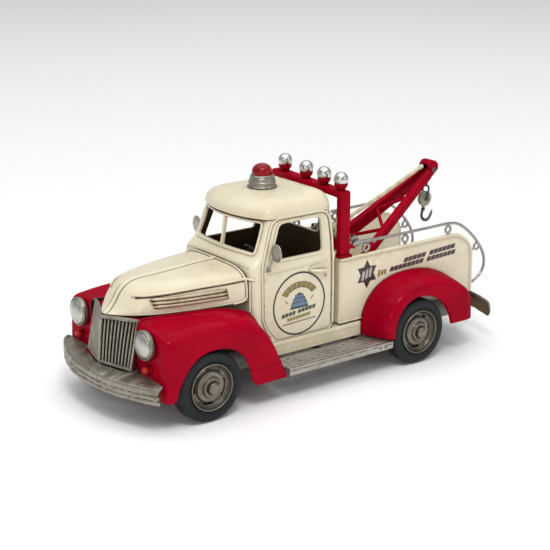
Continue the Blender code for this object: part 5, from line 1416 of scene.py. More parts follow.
def emblem(side, label, body):
    """A plain round badge: a thin ring with neutral bars and shapes, no lettering."""
    cx, cz, big, zoom = 3.0, 58.3, 21.9, 1.07

    def lay(dx, dz, out):
        # dx runs towards the rear on both sides of the truck, so that the badge reads the same way
        return on_cab_side(cx - dx * zoom, cz + dz * zoom, out, side)

    def ring(radius, wide, out=0.1):
        loops = []
        for k in range(120):
            a = 2 * math.pi * k / 120
            c, s = math.cos(a), math.sin(a)
            inner, outer = (radius - wide / 2) / zoom, (radius + wide / 2) / zoom
            loops.append([lay(inner * c, inner * s, -0.06), lay(outer * c, outer * s, -0.06), lay(outer * c, outer * s, out), lay(inner * c, inner * s, out)])
        points = [p for loop in loops for p in loop]
        faces = []
        for i in range(120):
            for j in range(4):
                a, b = i * 4 + j, i * 4 + (j + 1) % 4
                c, d = ((i + 1) % 120) * 4 + (j + 1) % 4, ((i + 1) % 120) * 4 + j
                faces.append((a, b, c, d))
        return points, faces

    def quad(corners, out=0.1):
        """A closed thin block over four corners (dx, dz), cut into strips so that it follows the door."""
        a, b, c, d = (np.array(p, float) for p in corners)
        loops = []
        for t in np.linspace(0, 1, 5):
            p, q = a + (d - a) * t, b + (c - b) * t
            row = [p + (q - p) * s for s in np.linspace(0, 1, 5)]
            loops.append([lay(v[0], v[1], out) for v in row] + [lay(v[0], v[1], -0.06) for v in row[::-1]])
        return loft(loops)

    piece(f"badge_ring_{label}", ring(big, 1.25), INK_DARK, body, (), 60)
    arc, shade = [], []
    for k in range(7):
        mid = math.radians(90 + (3 - k) * -17.0)
        for out, grow, shift, store in ((0.10, 0.0, 0.0, arc), (0.07, 0.35, -0.35, shade)):
            lo, hi, half = 12.4 - grow + shift, 16.4 + grow + shift, math.radians(6.3) + grow / 15
            pts = [(r * math.cos(a), r * math.sin(a) * 0.86 + 0.6) for r, a in ((lo, mid + half), (lo, mid - half), (hi, mid - half), (hi, mid + half))]
            store.append(quad(pts, out))
    piece(f"badge_arc_{label}", merged(*arc), INK_OLIVE, body, (), 60)
    piece(f"badge_arc_shade_{label}", merged(*shade), INK_DARK, body, (), 60)
    # an abstract stack of rounded bars in the middle
    blue, dark = [], []
    for dz, half, tall in ((4.9, 3.2, 1.7), (2.4, 5.0, 2.1), (-0.5, 6.4, 2.6)):
        blue.append(quad([(-half, dz - tall / 2), (half, dz - tall / 2), (half * 0.86, dz + tall / 2), (-half * 0.86, dz + tall / 2)], 0.11))
        wide, high = half + 0.5, tall / 2 + 0.45
        dark.append(quad([(-wide, dz - high), (wide, dz - high), (wide * 0.86, dz + high), (-wide * 0.86, dz + high)], 0.085))
    for dz, half, tall in ((6.7, 1.4, 0.9), (-2.6, 7.4, 0.9)):
        dark.append(quad([(-half, dz - tall / 2), (half, dz - tall / 2), (half, dz + tall / 2), (-half, dz + tall / 2)], 0.12))
    for flip in (1, -1):
        dark.append(quad([(flip * 9.0, 1.4), (flip * 9.5, 1.2), (flip * 11.6, 3.5), (flip * 11.1, 3.7)], 0.1))
    piece(f"badge_middle_{label}", merged(*blue), INK_BLUE, body, (), 60)
    piece(f"badge_lines_{label}", merged(*dark), INK_DARK, body, (), 60)
    green, olive, thin = [], [], []
    for at, wide in ((-13.0, 2.3), (-10.2, 2.3), (-7.4, 2.3), (-4.6, 2.3), (0.0, 2.4), (2.9, 2.4), (5.8, 2.4), (8.7, 2.4), (11.6, 2.4)):
        z0, lean = -5.2 + at * 0.1, 0.55
        green.append(quad([(at - wide / 2, z0 - 1.25), (at + wide / 2, z0 - 1.1), (at + wide / 2 + lean, z0 + 1.35), (at - wide / 2 + lean, z0 + 1.2)], 0.1))
    for k in range(8):
        at = -8.8 + k * 2.35
        z0, lean = -8.9 + at * 0.08, 0.5
        olive.append(quad([(at - 1.0, z0 - 1.05), (at + 0.95, z0 - 0.95), (at + 0.95 + lean, z0 + 1.1), (at - 1.0 + lean, z0 + 1.0)], 0.1))
    for k in range(18):
        at = -12.8 + k * 1.5
        z0 = -12.0 + at * 0.04
        thin.append(quad([(at - 0.5, z0 - 0.45), (at + 0.45, z0 - 0.4), (at + 0.6, z0 + 0.45), (at - 0.35, z0 + 0.4)], 0.09))
    piece(f"badge_row_a_{label}", merged(*green), INK_GREEN, body, (), 60)
    piece(f"badge_row_b_{label}", merged(*olive), INK_OLIVE, body, (), 60)
    piece(f"badge_row_c_{label}", merged(*thin), INK_DARK, body, (), 60)


def door_pieces():
    for side, label in ((1, "left"), (-1, "right")):
        body = f"{label}_door"
        low, high = (34.0, 50.0) if side > 0 else (-50.0, -34.0)
        door = raw(f"door_panel_{label}", prism(soften(DOOR_OUTLINE, 2.0, 7), "y", low, high))
        carve(door, [fine_cab(0.0, 30.0, 124.0)], "INTERSECT")
        window = soften(WINDOW_OUTLINE, 1.6, 6)
        carve(door, [prism(window, "y", *((30.0, 55.0) if side > 0 else (-55.0, -30.0))), fine_cab(1.5, 28.0, 126.0)])
        dress(door, CREAM, body, [f"door_{label}"], 38, 0.25, 2)
        # the door's inside lining in a very dark copy of the cream: painted shade
        lining = raw(f"door_lining_{label}", prism(soften(grown(DOOR_OUTLINE, -0.5), 2.0, 6), "y", low, high))
        carve(lining, [fine_cab(1.55, 30.0, 124.0)], "INTERSECT")
        carve(lining, [prism(soften(grown(WINDOW_OUTLINE, 0.4), 1.6, 6), "y", *((30.0, 55.0) if side > 0 else (-55.0, -30.0))), fine_cab(1.95, 28.0, 126.0)])
        dress(lining, CREAM_INSIDE_SHADE, body, (), 38)
        sill = spread(soften(grown(WINDOW_OUTLINE, 1.0), 2.4, 8), 1.4, closed=True)
        piece(f"window_bead_{label}", tube(side_line(sill, side, 0.1), 0.8, 14, closed=True), CREAM, body, (), 60)
        crease = [on_cab_side(x, 83.1 + (28.8 - x) * 0.0405, 0.02, side) for x in np.linspace(29.6, -22.0, 50)]
        radii = [0.42 * min(1.0, 0.3 + k / 5, 0.3 + (49 - k) / 5) for k in range(50)]
        piece(f"door_crease_{label}", tube(crease, radii, 12), CREAM, body, (), 60)
        # handle: a teardrop lever on a pressed plate, with a key ring behind it
        base_y = smooth_table(80.0, CAB_SIDE)
        plate = []
        for k in range(40):
            a = 2 * math.pi * k / 40
            wide = 6.6 * math.cos(a)
            tall = 2.6 * math.sin(a) * (1.0 - 0.28 * math.cos(a))
            plate.append((-11.6 + wide, 80.6 + tall + wide * 0.05))
        rings = []
        for out, shrink in ((-0.2, 1.0), (0.35, 1.0), (0.75, 0.93), (0.95, 0.8), (1.0, 0.6)):
            rings.append([(-11.6 + (x + 11.6) * shrink, side * (base_y + out), 80.6 + (z - 80.6) * shrink) for x, z in plate])
        piece(f"handle_plate_{label}", loft(rings), CREAM, body, (), 50)
        grip = curve_through([(-6.0, 41.2, 80.2), (-7.0, 43.0, 80.2), (-10.0, 43.8, 79.9), (-15.0, 43.9, 79.2), (-18.6, 43.6, 78.5), (-20.0, 42.8, 78.2), (-20.2, 41.2, 78.0)], 36)
        if side < 0:
            grip = [(x, -y, z) for x, y, z in grip]
        radii = [0.75 + 0.45 * math.sin(math.pi * min(1.0, max(0.0, k / 35))) ** 0.6 for k in range(36)]
        piece(f"handle_grip_{label}", tube(grip, radii, 16), CREAM, body, [f"door_handle_{label}"], 60)
        key = [(0.0, 40.6), (1.35, 40.6), (1.4, 41.05), (1.15, 41.25), (0.85, 41.2), (0.7, 40.95), (0.0, 40.9)]
        piece(f"key_ring_{label}", lathe([(r, side * a) for r, a in key], "y", (-19.7, 0, 74.4), 28), CREAM, body, (), 50)
        piece(f"key_slot_{label}", lathe([(0.0, side * 40.7), (0.62, side * 40.7), (0.66, side * 41.05), (0.5, side * 41.12), (0.0, side * 41.14)], "y", (-19.7, 0, 74.4), 20), HOOK_STEEL, body, (), 50)
        hinge = []
        for z in (58.5, 82.5):
            hinge.append(lathe([(0.0, z - 3.2), (1.05, z - 3.2), (1.2, z - 2.9), (1.2, z + 2.9), (1.05, z + 3.2), (0.0, z + 3.2)], "z", (32.0, side * 40.6, 0), 20))
        piece(f"door_hinges_{label}", merged(*hinge), CREAM, body, (), 50)
        emblem(side, label, body)
        centre = (27.0, side * 47.2, 99.4)
        disc = [(0.0, -0.9), (5.0, -0.9), (5.3, -0.55), (5.7, -0.55), (6.15, -0.3), (6.2, 0.2), (5.9, 0.6), (5.1, 0.95), (3.7, 1.35), (2.0, 1.6), (0.0, 1.7)]
        glass = lathe(soften(disc, 0.25, 3, closed=False), "x", centre, 56)
        glass = ([(x, centre[1] + (y - centre[1]) * 0.9, z) for x, y, z in glass[0]], glass[1])
        stem = curve_through([(27.2, 45.4, 97.6), (27.9, 43.8, 94.0), (28.7, 42.7, 90.0), (29.0, 42.1, 86.6)], 24)
        stem = tube(stem, [0.8] * 22 + [1.2, 1.3], 14)
        foot = rivet((29.0, side * 41.2, 86.8), 1.6, "y", side, 0.8)
        mirror = raw(f"mirror_head_{label}", merged(glass, stem if side > 0 else mirrored(stem), foot))
        dress(mirror, RIBBED, body, [f"mirror_{label}"], 50)


def roof_pieces():
    def skin(grow, base, top, rows):
        outline = smooth_loop(roof_outline(grow), 1.0, 3, 2)
        loops = []
        for k in range(rows):
            t = math.pi / 2 * k / rows
            shrink, rise = math.cos(t) ** (2 / 4.4), math.sin(t) ** (2 / 2.5)
            loops.append([(1.6 + (x - 1.6) * shrink, y * shrink, base + (top - base + roof_lean(1.6 + (x - 1.6) * shrink)) * rise) for x, y in outline])
        return loops
    outer, inner = skin(0.0, 120.0, ROOF_TOP, 26), skin(-1.4, 120.0, ROOF_TOP - 1.4, 26)
    count = len(outer[0])
    if len(inner[0]) != count:
        inner = [[(1.6 + (x - 1.6) * 0.965, y * 0.965, max(120.0, z - 1.3)) for x, y, z in loop] for loop in outer]
    points, faces, rows = [], [], len(outer)
    for loop in outer + inner:
        points += loop
    pairs = [(i, i + 1) for i in range(rows - 1)] + [(rows + i, rows + i + 1) for i in range(rows - 1)] + [(0, rows)]
    for first, second in pairs:
        for j in range(count):
            m = (j + 1) % count
            faces.append((first * count + j, first * count + m, second * count + m, second * count + j))
    faces.append(tuple((rows - 1) * count + j for j in range(count)))
    faces.append(tuple((2 * rows - 1) * count + j for j in range(count)))
    piece("roof_panel", (points, faces), CREAM, "truck", ["cab_roof"], 50)
    drip = [(x, y, 120.4) for x, y in smooth_loop(roof_outline(-0.05), 1.2, 3, 2)]
    piece("roof_drip_edge", tube(drip, 0.6, 14, closed=True), CREAM, "truck", (), 60)
    # a dark brown line at the joint under the drip edge: brown wash and painted shade
    seam = [(x, y, 119.65) for x, y in smooth_loop(roof_outline(-0.35), 1.2, 3, 2)]
    piece("roof_seam_wash_and_shade", tube(seam, 0.5, 10, closed=True), WASH_AND_SHADE, "truck", (), 60)
    # the headlining in a very dark copy of the cream: painted shade inside the roof
    lid = smooth_loop(roof_outline(-1.7), 1.2, 2, 2)
    lower = [[(x, y, z) for x, y in lid] for z in (119.0, 121.4)]
    head = raw("roof_headlining", loft(lower))
    inside = smooth_loop(roof_outline(-4.2), 1.2, 2, 2)
    carve(head, [loft([[(x, y, z) for x, y in inside] for z in (110.0, 130.0)])])
    dress(head, CREAM_INSIDE_SHADE, "truck", (), 50)


def wheel_and_beacon():
    hub = Vector((22.6, 17.0, 90.6))
    lean = math.radians(38.0)
    up = Vector((math.sin(lean), 0.0, math.cos(lean)))
    across = Vector((0.0, 1.0, 0.0))
    axis = Vector((math.cos(lean), 0.0, -math.sin(lean)))
    ring = [tuple(hub + (up * math.cos(a) + across * math.sin(a)) * 9.2) for a in (2 * math.pi * k / 56 for k in range(56))]
    parts = [tube(ring, [0.9 + 0.07 * math.cos(14 * 2 * math.pi * k / 56) for k in range(56)], 14, closed=True)]
    for k in range(3):
        a = 2 * math.pi * (k / 3) + math.pi / 2
        way = up * math.cos(a) + across * math.sin(a)
        parts.append(tube([tuple(hub - axis * 0.3 + way * (0.5 + 8.6 * t)) for t in np.linspace(0, 1, 8)], [0.8 - 0.25 * t for t in np.linspace(0, 1, 8)], 12))
    parts.append(tube([tuple(hub - axis * 2.0), tuple(hub - axis * 1.8), tuple(hub - axis * 1.0), tuple(hub + axis * 1.4)], [1.3, 2.0, 2.4, 2.4], 24))
    parts.append(tube([tuple(hub + axis * d) for d in np.linspace(0.6, 20.0, 10)], 1.5, 18))
    piece("wheel_steering", merged(*parts), HORN, "truck", ["steering_wheel"], 50)
    x = 4.2
    base = [
        (0.0, 132.6), (10.0, 132.6), (10.4, 132.9), (10.4, 133.6), (10.0, 134.0), (9.6, 134.2), (9.35, 134.9), (9.3, 135.7), (9.6, 136.1), (9.55, 136.8),
        (9.1, 137.2), (9.0, 138.1), (8.7, 139.2), (8.3, 139.8), (8.3, 140.5), (7.9, 141.1), (7.4, 141.5), (0.0, 141.6),
    ]
    piece("beacon_foot", lathe(soften(base, 0.28, 4, closed=False), "z", (x, 0, 0), 72), PEWTER, "truck", ["beacon_base"], 48)
    dome = [(0.0, 141.4), (6.9, 141.4), (7.1, 141.9), (7.15, 143.2)]
    for k in range(1, 21):
        turn = math.pi / 2 * k / 20
        dome.append((7.15 * math.cos(turn) ** 0.9 if k < 20 else 0.0, 143.2 + 5.9 * math.sin(turn)))
    piece("beacon_glass", lathe(dome, "z", (x, 0, 0), 64), DOME, "truck", ["beacon_dome"], 60)
    screws = [rivet((x + 9.95 * math.cos(a), 9.95 * math.sin(a), 133.85), 0.42, "z", 1, 0.4) for a in (math.pi / 2, math.pi * 7 / 6, math.pi * 11 / 6)]
    piece("beacon_screws", merged(*screws), PEWTER, "truck", (), 50)


# ------------------------------------------------------------------ bed


def bed_pieces():
    edge = bed_edge(26)
    outline = [(x, z) for x, z in edge] + [(BED_FRONT - 0.9, 36.0)]
    for side, label in ((1, "left"), (-1, "right")):
        low, high = sorted((side * (BODY_Y - SHEET), side * BODY_Y))
        panel = piece(f"bed_side_{label}", prism(outline, "y", low, high), CREAM, "truck", ["bed"] if side > 0 else (), 38, 0.2)
        line = spread([(x, side * (BODY_Y - 0.4), z) for x, z in edge], 1.5)
        roll = tube(line, 1.3, 18)
        front = tube([(BED_FRONT - 1.1, side * (BODY_Y - 0.25), z) for z in np.linspace(36.2, BED_TOP - 0.6, 30)], 0.85, 14)
        hem = tube([(x, side * (BODY_Y - 0.2), 36.4) for x in np.linspace(-33.0, -160.6, 60)], 0.7, 12)
        piece(f"bed_roll_{label}", merged(roll, front, hem), CREAM, "truck", (), 60)
        inner = grown(outline, -2.5)
        groove = [p for p in spread(inner, 1.4, closed=True) if p[1] > 45.0 and p[0] < -35.5]
        groove = sorted([p for p in groove], key=lambda p: (math.atan2(p[1] - 45.0, p[0] + 97.0)))
        piece(f"bed_crease_{label}", tube([(x, side * (BODY_Y - 0.12), z) for x, z in groove], 0.3, 10), CREAM, "truck", (), 60)
    # floor with pressed ribs, and the front wall
    ribs = []
    for y in np.linspace(-39.6, 39.6, 159):
        ribs.append((y, BED_FLOOR - 0.02 + 0.0 * y - 0.45 * max(0.0, math.cos(2 * math.pi * y / 11.3)) ** 6))
    loop = ribs + [(39.6, BED_FLOOR - 1.3), (-39.6, BED_FLOOR - 1.3)]
    piece("bed_floor_panel", prism(loop, "x", BED_FRONT - 1.2, BED_REAR + 0.7), CREAM, "truck", (), 40)
    rows = []
    for z in np.linspace(36.2, BED_TOP - 0.4, 60):
        bow = 0.35 * max(0.0, math.cos(2 * math.pi * (z - 60.0) / 9.4)) ** 5
        rows.append([(BED_FRONT - 2.0 - bow, y, z) for y in (-39.9, 39.9)] + [(BED_FRONT - 0.8, y, z) for y in (39.9, -39.9)])
    piece("bed_front_wall", loft(rows), CREAM, "truck", (), 40)
    piece("bed_front_roll", tube([(BED_FRONT - 1.4, y, BED_TOP - 0.3) for y in np.linspace(-39.6, 39.6, 40)], 1.1, 16), CREAM, "truck", (), 60)
    # plain star badge and slanted rows of plain marks, on both sides
    for side, label in ((1, "left"), (-1, "right")):
        cx, cz = -57.9, 67.9
        star, inner = [], []
        for k in range(12):
            a = math.pi / 2 + math.pi * k / 6
            r = 10.6 if k % 2 == 0 else 6.3
            star.append((cx + r * math.cos(a) * 0.94, cz + r * math.sin(a)))
            r = 9.4 if k % 2 == 0 else 5.6
            inner.append((cx + r * math.cos(a) * 0.94, cz + r * math.sin(a)))
        piece(f"bed_star_edge_{label}", flat_patch(star, side, out=0.08), INK_DARK, "truck", (), 60)
        piece(f"bed_star_{label}", flat_patch(inner, side, out=0.12), INK_PLUM, "truck", (), 60)
        pale, olive, plum = [], [], []

        def mark(x, z, wide, tall, lean, out=0.16):
            pts = [(x + wide / 2 + lean / 2, z - tall / 2), (x - wide / 2 + lean / 2, z - tall / 2), (x - wide / 2 - lean / 2, z + tall / 2), (x + wide / 2 - lean / 2, z + tall / 2)]
            return flat_patch(pts, side, out=out)

        for dx, dz in ((3.6, -0.8), (0.3, 0.1), (-3.0, 0.9)):
            pale.append(mark(cx + dx, cz + dz, 2.1, 6.6, 1.2))
        for dx in (0.0, 2.9, 5.6):
            olive.append(mark(-69.2 - dx, 66.4 + dx * 0.06, 2.0, 5.0 if dx == 0 else 3.6, 0.9, 0.1))
        for x0, x1, z0, z1, tall, sizes in (
            (-92.6, -143.4, 71.9, 74.6, 3.3, (5, 6)),
            (-79.4, -143.7, 67.4, 69.9, 3.3, (8, 7)),
        ):
            total = sum(sizes) + 0.8
            unit = (x1 - x0) / total
            at = 0.0
            for word in sizes:
                for _ in range(word):
                    t = (at + 0.5) / total
                    x, z = x0 + (x1 - x0) * t, z0 + (z1 - z0) * t
                    plum.append(mark(x, z, abs(unit) * 0.87, tall, 1.5, 0.1))
                    at += 1.0
                at += 0.8
        piece(f"bed_star_marks_{label}", merged(*pale), INK_PALE, "truck", (), 60)
        piece(f"bed_marks_{label}", merged(*olive), INK_OLIVE, "truck", (), 60)
        piece(f"bed_rows_{label}", merged(*plum), INK_PLUM, "truck", (), 60)


def bar_pieces():
    half, foot, wide = 40.0, 84.2, 5.2
    outline = [
        (half, foot), (half, bar_top(half) - 1.0), (half - 1.0, bar_top(half)), (1.0 - half, bar_top(-half)),
        (-half, bar_top(-half) - 1.0), (-half, foot), (wide - half, foot), (wide - half, bar_top(-half) - 4.6),
        (half - wide, bar_top(half) - 4.6), (half - wide, foot),
    ]
    bar = raw("lamp_bar_frame", prism(spread(outline, 4.0, closed=True), "x", BAR_X - 4.2, BAR_X + 4.2))
    dress(bar, RED, "truck", ["light_bar"], 34, 0.55, 4)
    studs = []
    for y in LAMP_YS:
        cup = [(0.0, -0.6), (2.7, -0.6), (2.8, 0.2), (3.3, 1.3), (4.2, 2.5), (4.7, 3.7), (4.8, 4.6), (4.5, 4.9), (4.0, 4.3), (0.0, 3.4)]
        studs.append(lathe(soften(cup, 0.3, 4, closed=False), "z", (BAR_X, y, bar_top(y)), 48))
    piece("lamp_studs", merged(*studs), RED, "truck", (), 50)
    pegs = []
    for side in (1, -1):
        pegs.append(tube([(BAR_X - 3.8 - 3.8 * t, side * (38.4 + 0.5 * t), 89.6 + 1.0 * t) for t in np.linspace(0, 1, 6)], [1.9, 1.6, 1.5, 1.5, 1.5, 1.7], 20))
        for z in (88.6, 97.2, 118.0):
            pegs.append(rivet((BAR_X, side * 40.0, z), 1.0, "y", side, 0.6))
        pegs.append(box(BAR_X - 5.4, BAR_X + 5.4, *sorted((side * 33.4, side * 41.2)), 83.6, 85.2))
    piece("lamp_bar_pegs", merged(*pegs), RED, "truck", (), 50)
    for number, y in enumerate(LAMP_YS[::-1]):
        centre = bar_top(y) + 2.8 + GAP + 4.6
        globe = ball((BAR_X, y, centre), 5.1, 1.0, 64, 40)
        piece(f"lamp_ball_{number + 1}", globe, CHROME, "truck", [f"roof_lamp_{number + 1}"], 70)


def rail_pieces():
    for side, label in ((1, "left"), (-1, "right")):
        y = side * 40.0
        path = [(-46.2, RAIL_Z - 0.6), (-52.0, RAIL_Z), (-80.0, RAIL_Z + 0.1), (-110.0, RAIL_Z + 0.2), (-137.0, RAIL_Z + 0.2), (-148.2, 89.4), (-159.2, 81.4), (-168.2, 71.8), (-173.6, 63.2), (-175.0, 55.0), (-172.4, 48.6), (-166.8, 44.2), (-163.4, 43.0)]
        path = curve_through([(x, y, z) for x, z in path], 130)
        rail = tube(path, 1.1, 18)
        ends = [ball(path[0], 1.35, 1.0, 24, 14), ball(path[-1], 1.5, 1.0, 24, 14)]
        rings = []
        for x, z in ((-56.9, 87.7), (-93.9, 87.8), (-136.2, 87.8), (-166.3, 70.0)):
            profile = []
            for k in range(16):
                a = 2 * math.pi * k / 16
                profile.append((2.5 + 0.95 * math.cos(a), 0.95 * math.sin(a)))
            rings.append(lathe(profile, "y", (x, y, z), 44, ring=True))
        for x in (-56.9, -93.9, -136.2):
            rings.append(tube([(x, y, 85.2), (x, y, 84.4), (x, y, 82.4)], [0.85, 0.85, 1.3], 16))
        rings.append(tube([(-164.0, y, 69.0), (-162.6, y, 68.4), (-161.0, y, 67.6)], [0.85, 0.85, 1.3], 16))
        piece(f"rail_wire_{label}", merged(rail, *ends), WIRE, "truck", [f"rail_{label}"], 60)
        piece(f"rail_eyes_{label}", merged(*rings), WIRE, "truck", (), 60)


# ------------------------------------------------------------------ towing gear


def boom_pieces():
    foot = np.array([-40.6, 30.2, 50.2])
    head = np.array([-155.0, 5.6, 122.7])
    along = (head - foot) / np.linalg.norm(head - foot)
    over = np.array([0.0, 1.0, 0.0])
    up = np.cross(along, over)
    up /= np.linalg.norm(up)
    if up[2] < 0:
        up = -up
    lid, lip, web, thin = 5.2, 5.5, 9.3, 1.3
    section = [(0.0, 0.0), (0.0, lip), (-lid, lip), (-lid, lip - web), (-lid + thin, lip - web), (-lid + thin, lip - thin), (-thin, lip - thin), (-thin, 0.0)]
    section = soften(section, 0.45, 4)
    loops = [[tuple(foot + (head - foot) * t + over * a + up * b) for a, b in section] for t in np.linspace(0, 1, 40)]
    slot = box(-165.0, -137.0, -2.5, 2.5, 100.0, 128.2)
    for side, label in ((1, "left"), (-1, "right")):
        arm = raw(f"boom_arm_{label}", loft(loops) if side > 0 else mirrored(loft(loops)))
        carve(arm, [slot])
        dress(arm, RED, "truck", ["boom"] if side > 0 else (), 36)

    def on_arm(t, side, inset, lift):
        base = foot + (head - foot) * t + over * -inset + up * lift
        return np.array([base[0], base[1] * side, base[2]])

    rods = []
    for t0, s0, t1, s1 in [(0.20, 1, 0.36, -1), (0.36, -1, 0.50, 1), (0.50, 1, 0.62, -1), (0.62, -1, 0.76, 1), (0.20, 1, 0.20, -1)]:
        a, b = on_arm(t0, s0, 5.0, 2.6), on_arm(t1, s1, 5.0, 2.6)
        rods.append(tube([tuple(a + (b - a) * t) for t in (0.0, 0.04, 0.08, 0.5, 0.92, 0.96, 1.0)], [1.7, 1.55, 1.3, 1.3, 1.3, 1.55, 1.7], 20))
    piece("boom_rods", merged(*rods), RED, "truck", (), 50)
    cap = []
    for k in range(8):
        turn = 2 * math.pi * (k + 0.5) / 8
        cap.append((-152.2 + 5.2 * math.cos(turn), 126.4 + 5.1 * math.sin(turn)))
    block = raw("boom_head", prism(cap, "y", -5.6, 5.6))
    carve(block, [slot])
    dress(block, RED, "truck", (), 36, 0.45, 3)
    pin = [tube([(HEAD_PIN[0], y, HEAD_PIN[1]) for y in (-5.8, 5.8)], 1.0, 24)]
    for side in (1, -1):
        pin.append(lathe([(0.0, side * 5.3), (2.1, side * 5.3), (2.2, side * 5.9), (1.9, side * 6.3), (0.0, side * 6.5)], "y", (HEAD_PIN[0], 0, HEAD_PIN[1]), 6))
    piece("boom_head_pin", merged(*pin), HOOK_STEEL, "truck", (), 40, 0.1)
    pads, bolts = [], []
    for side in (1, -1):
        pads.append(box(-46.0, -36.8, *sorted((side * 22.0, side * 31.2)), BED_FLOOR + 0.1, BED_FLOOR + 6.2))
        for t in (0.04, 0.2, 0.36, 0.5, 0.62, 0.76, 0.93):
            spot = on_arm(t, side, 0.0, 2.4)
            bolts.append(rivet(tuple(spot), 1.0, "y", side, 0.55))
        for x in (-44.0, -38.8):
            bolts.append(rivet((x, side * 31.2, BED_FLOOR + 3.0), 1.0, "y", side, 0.55))
    piece("boom_feet", merged(*pads), RED, "truck", (), 36, 0.5, 3)
    piece("boom_rivets", merged(*bolts), RED, "truck", (), 50)


def winch_pieces():
    x, z = WINCH
    outer = [(-17.6, BED_FLOOR + 0.1), (-17.6, z + 5.0), (-16.2, z + 5.0), (-16.2, BED_FLOOR + 1.6), (16.2, BED_FLOOR + 1.6), (16.2, z + 5.0), (17.6, z + 5.0), (17.6, BED_FLOOR + 0.1)]
    bracket = raw("winch_bracket", prism(outer, "x", x - 2.7, x + 4.6))
    bore = lathe([(0.0, -30.0), (1.6, -30.0), (1.6, 30.0), (0.0, 30.0)], "y", (x, 0, z), 32)
    carve(bracket, [bore])
    dress(bracket, WASH, "truck", ["winch_frame"], 36, 0.35, 3)
    collars = []
    for side in (1, -1):
        collars.append(lathe([(1.65, side * 17.4), (3.2, side * 17.4), (3.2, side * 18.3), (2.9, side * 18.6), (1.65, side * 18.6)], "y", (x, 0, z), 36, ring=True))
        for spot in ((x + 1.0, z - 8.0), (x + 1.0, z - 22.0)):
            collars.append(rivet((spot[0], side * 17.6, spot[1]), 1.0, "y", side, 0.5))
    piece("winch_collars", merged(*collars), WASH, "truck", (), 45)
    drum = [
        (0.0, -20.4), (1.0, -20.4), (1.2, -20.1), (1.2, -15.7), (5.5, -15.7), (5.8, -15.4), (5.8, -14.7), (5.5, -14.4), (2.2, -14.4), (2.2, 14.4),
        (5.5, 14.4), (5.8, 14.7), (5.8, 15.4), (5.5, 15.7), (1.2, 15.7), (1.2, 24.4), (2.6, 24.4), (2.6, 27.8), (1.2, 27.8), (1.2, 30.6), (0.9, 30.9), (0.0, 31.0),
    ]
    piece("winch_spool", lathe(drum, "y", (x, 0, z), 48), RIBBED, "winch", ["winch_drum"], 45)
    star = []
    for k in range(16):
        turn = 2 * math.pi * k / 16
        r = 5.3 if k % 2 == 0 else 3.3
        star.append((x + r * math.cos(turn), z + r * math.sin(turn)))
    piece("winch_star", prism(soften(star, 0.5, 4), "y", 25.2, 27.2), RIBBED, "winch", (), 40, 0.25, 3)
    lever = [(x + 1.8, z - 1.6), (x + 1.8, z + 1.6), (x - 2.0, z + 1.7), (x - 12.6, z + 1.3), (x - 13.6, z + 0.3), (x - 12.8, z - 0.6), (x - 2.0, z - 1.7)]
    piece("winch_lever", prism(soften(lever, 0.8, 5), "y", 28.2, 29.6), RIBBED, "winch", (), 40, 0.3, 3)
    knob = lathe(soften([(0.0, 29.0), (1.1, 29.0), (1.1, 30.2), (1.7, 31.0), (1.9, 33.0), (1.5, 34.2), (0.0, 34.6)], 0.3, 4, closed=False), "y", (x - 12.2, 0, z + 0.4), 32)
    nut = lathe([(0.0, 29.4), (2.0, 29.4), (2.0, 30.5), (1.7, 30.8), (0.0, 30.8)], "y", (x, 0, z), 6)
    piece("winch_knob", merged(knob, nut), RIBBED, "winch", (), 40)


def rope_line(per=60, run=230):
    """The rope's middle line: three turns on the drum, then straight up over the boom to its head."""
    x, z = WINCH
    reach = 2.2 + GAP + ROPE_R
    turns = 3
    path = []
    lean = math.radians(67.0)
    for k in range(turns * per + 1):
        share = k / (turns * per)
        angle = lean + 2 * math.pi * turns * (1 - share)
        path.append((x + reach * math.cos(angle), -10.2 + 10.2 * share, z + reach * math.sin(angle)))
    end = (-145.4, 0.0, 127.2)
    last = path[-1]
    for k in range(1, run + 1):
        t = k / run
        sag = -1.2 * math.sin(math.pi * t)
        path.append(tuple(last[a] + (end[a] - last[a]) * t + (sag if a == 2 else 0.0) for a in range(3)))
    return path


def rope_pieces():
    path = rope_line()
    pts, across = frames(path, False)
    run = [0.0]
    for a, b in zip(pts, pts[1:]):
        run.append(run[-1] + (b - a).length)
    strands = []
    for n in range(3):
        line = []
        for p, (u, v), s in zip(pts, across, run):
            a = 2 * math.pi * (s / 6.4 + n / 3)
            line.append(tuple(p + (u * math.cos(a) + v * math.sin(a)) * 0.70))
        strands.append(tube(line, 0.80, 12))
    end = pts[-1]
    whip = tube([tuple(end + (pts[-4] - end).normalized() * d) for d in (3.2, 2.6, 0.2, -0.4)], [1.5, 1.72, 1.72, 1.3], 22)
    piece("rope_tow", merged(*strands, whip), ROPE, "truck", ["tow_rope"], 70)


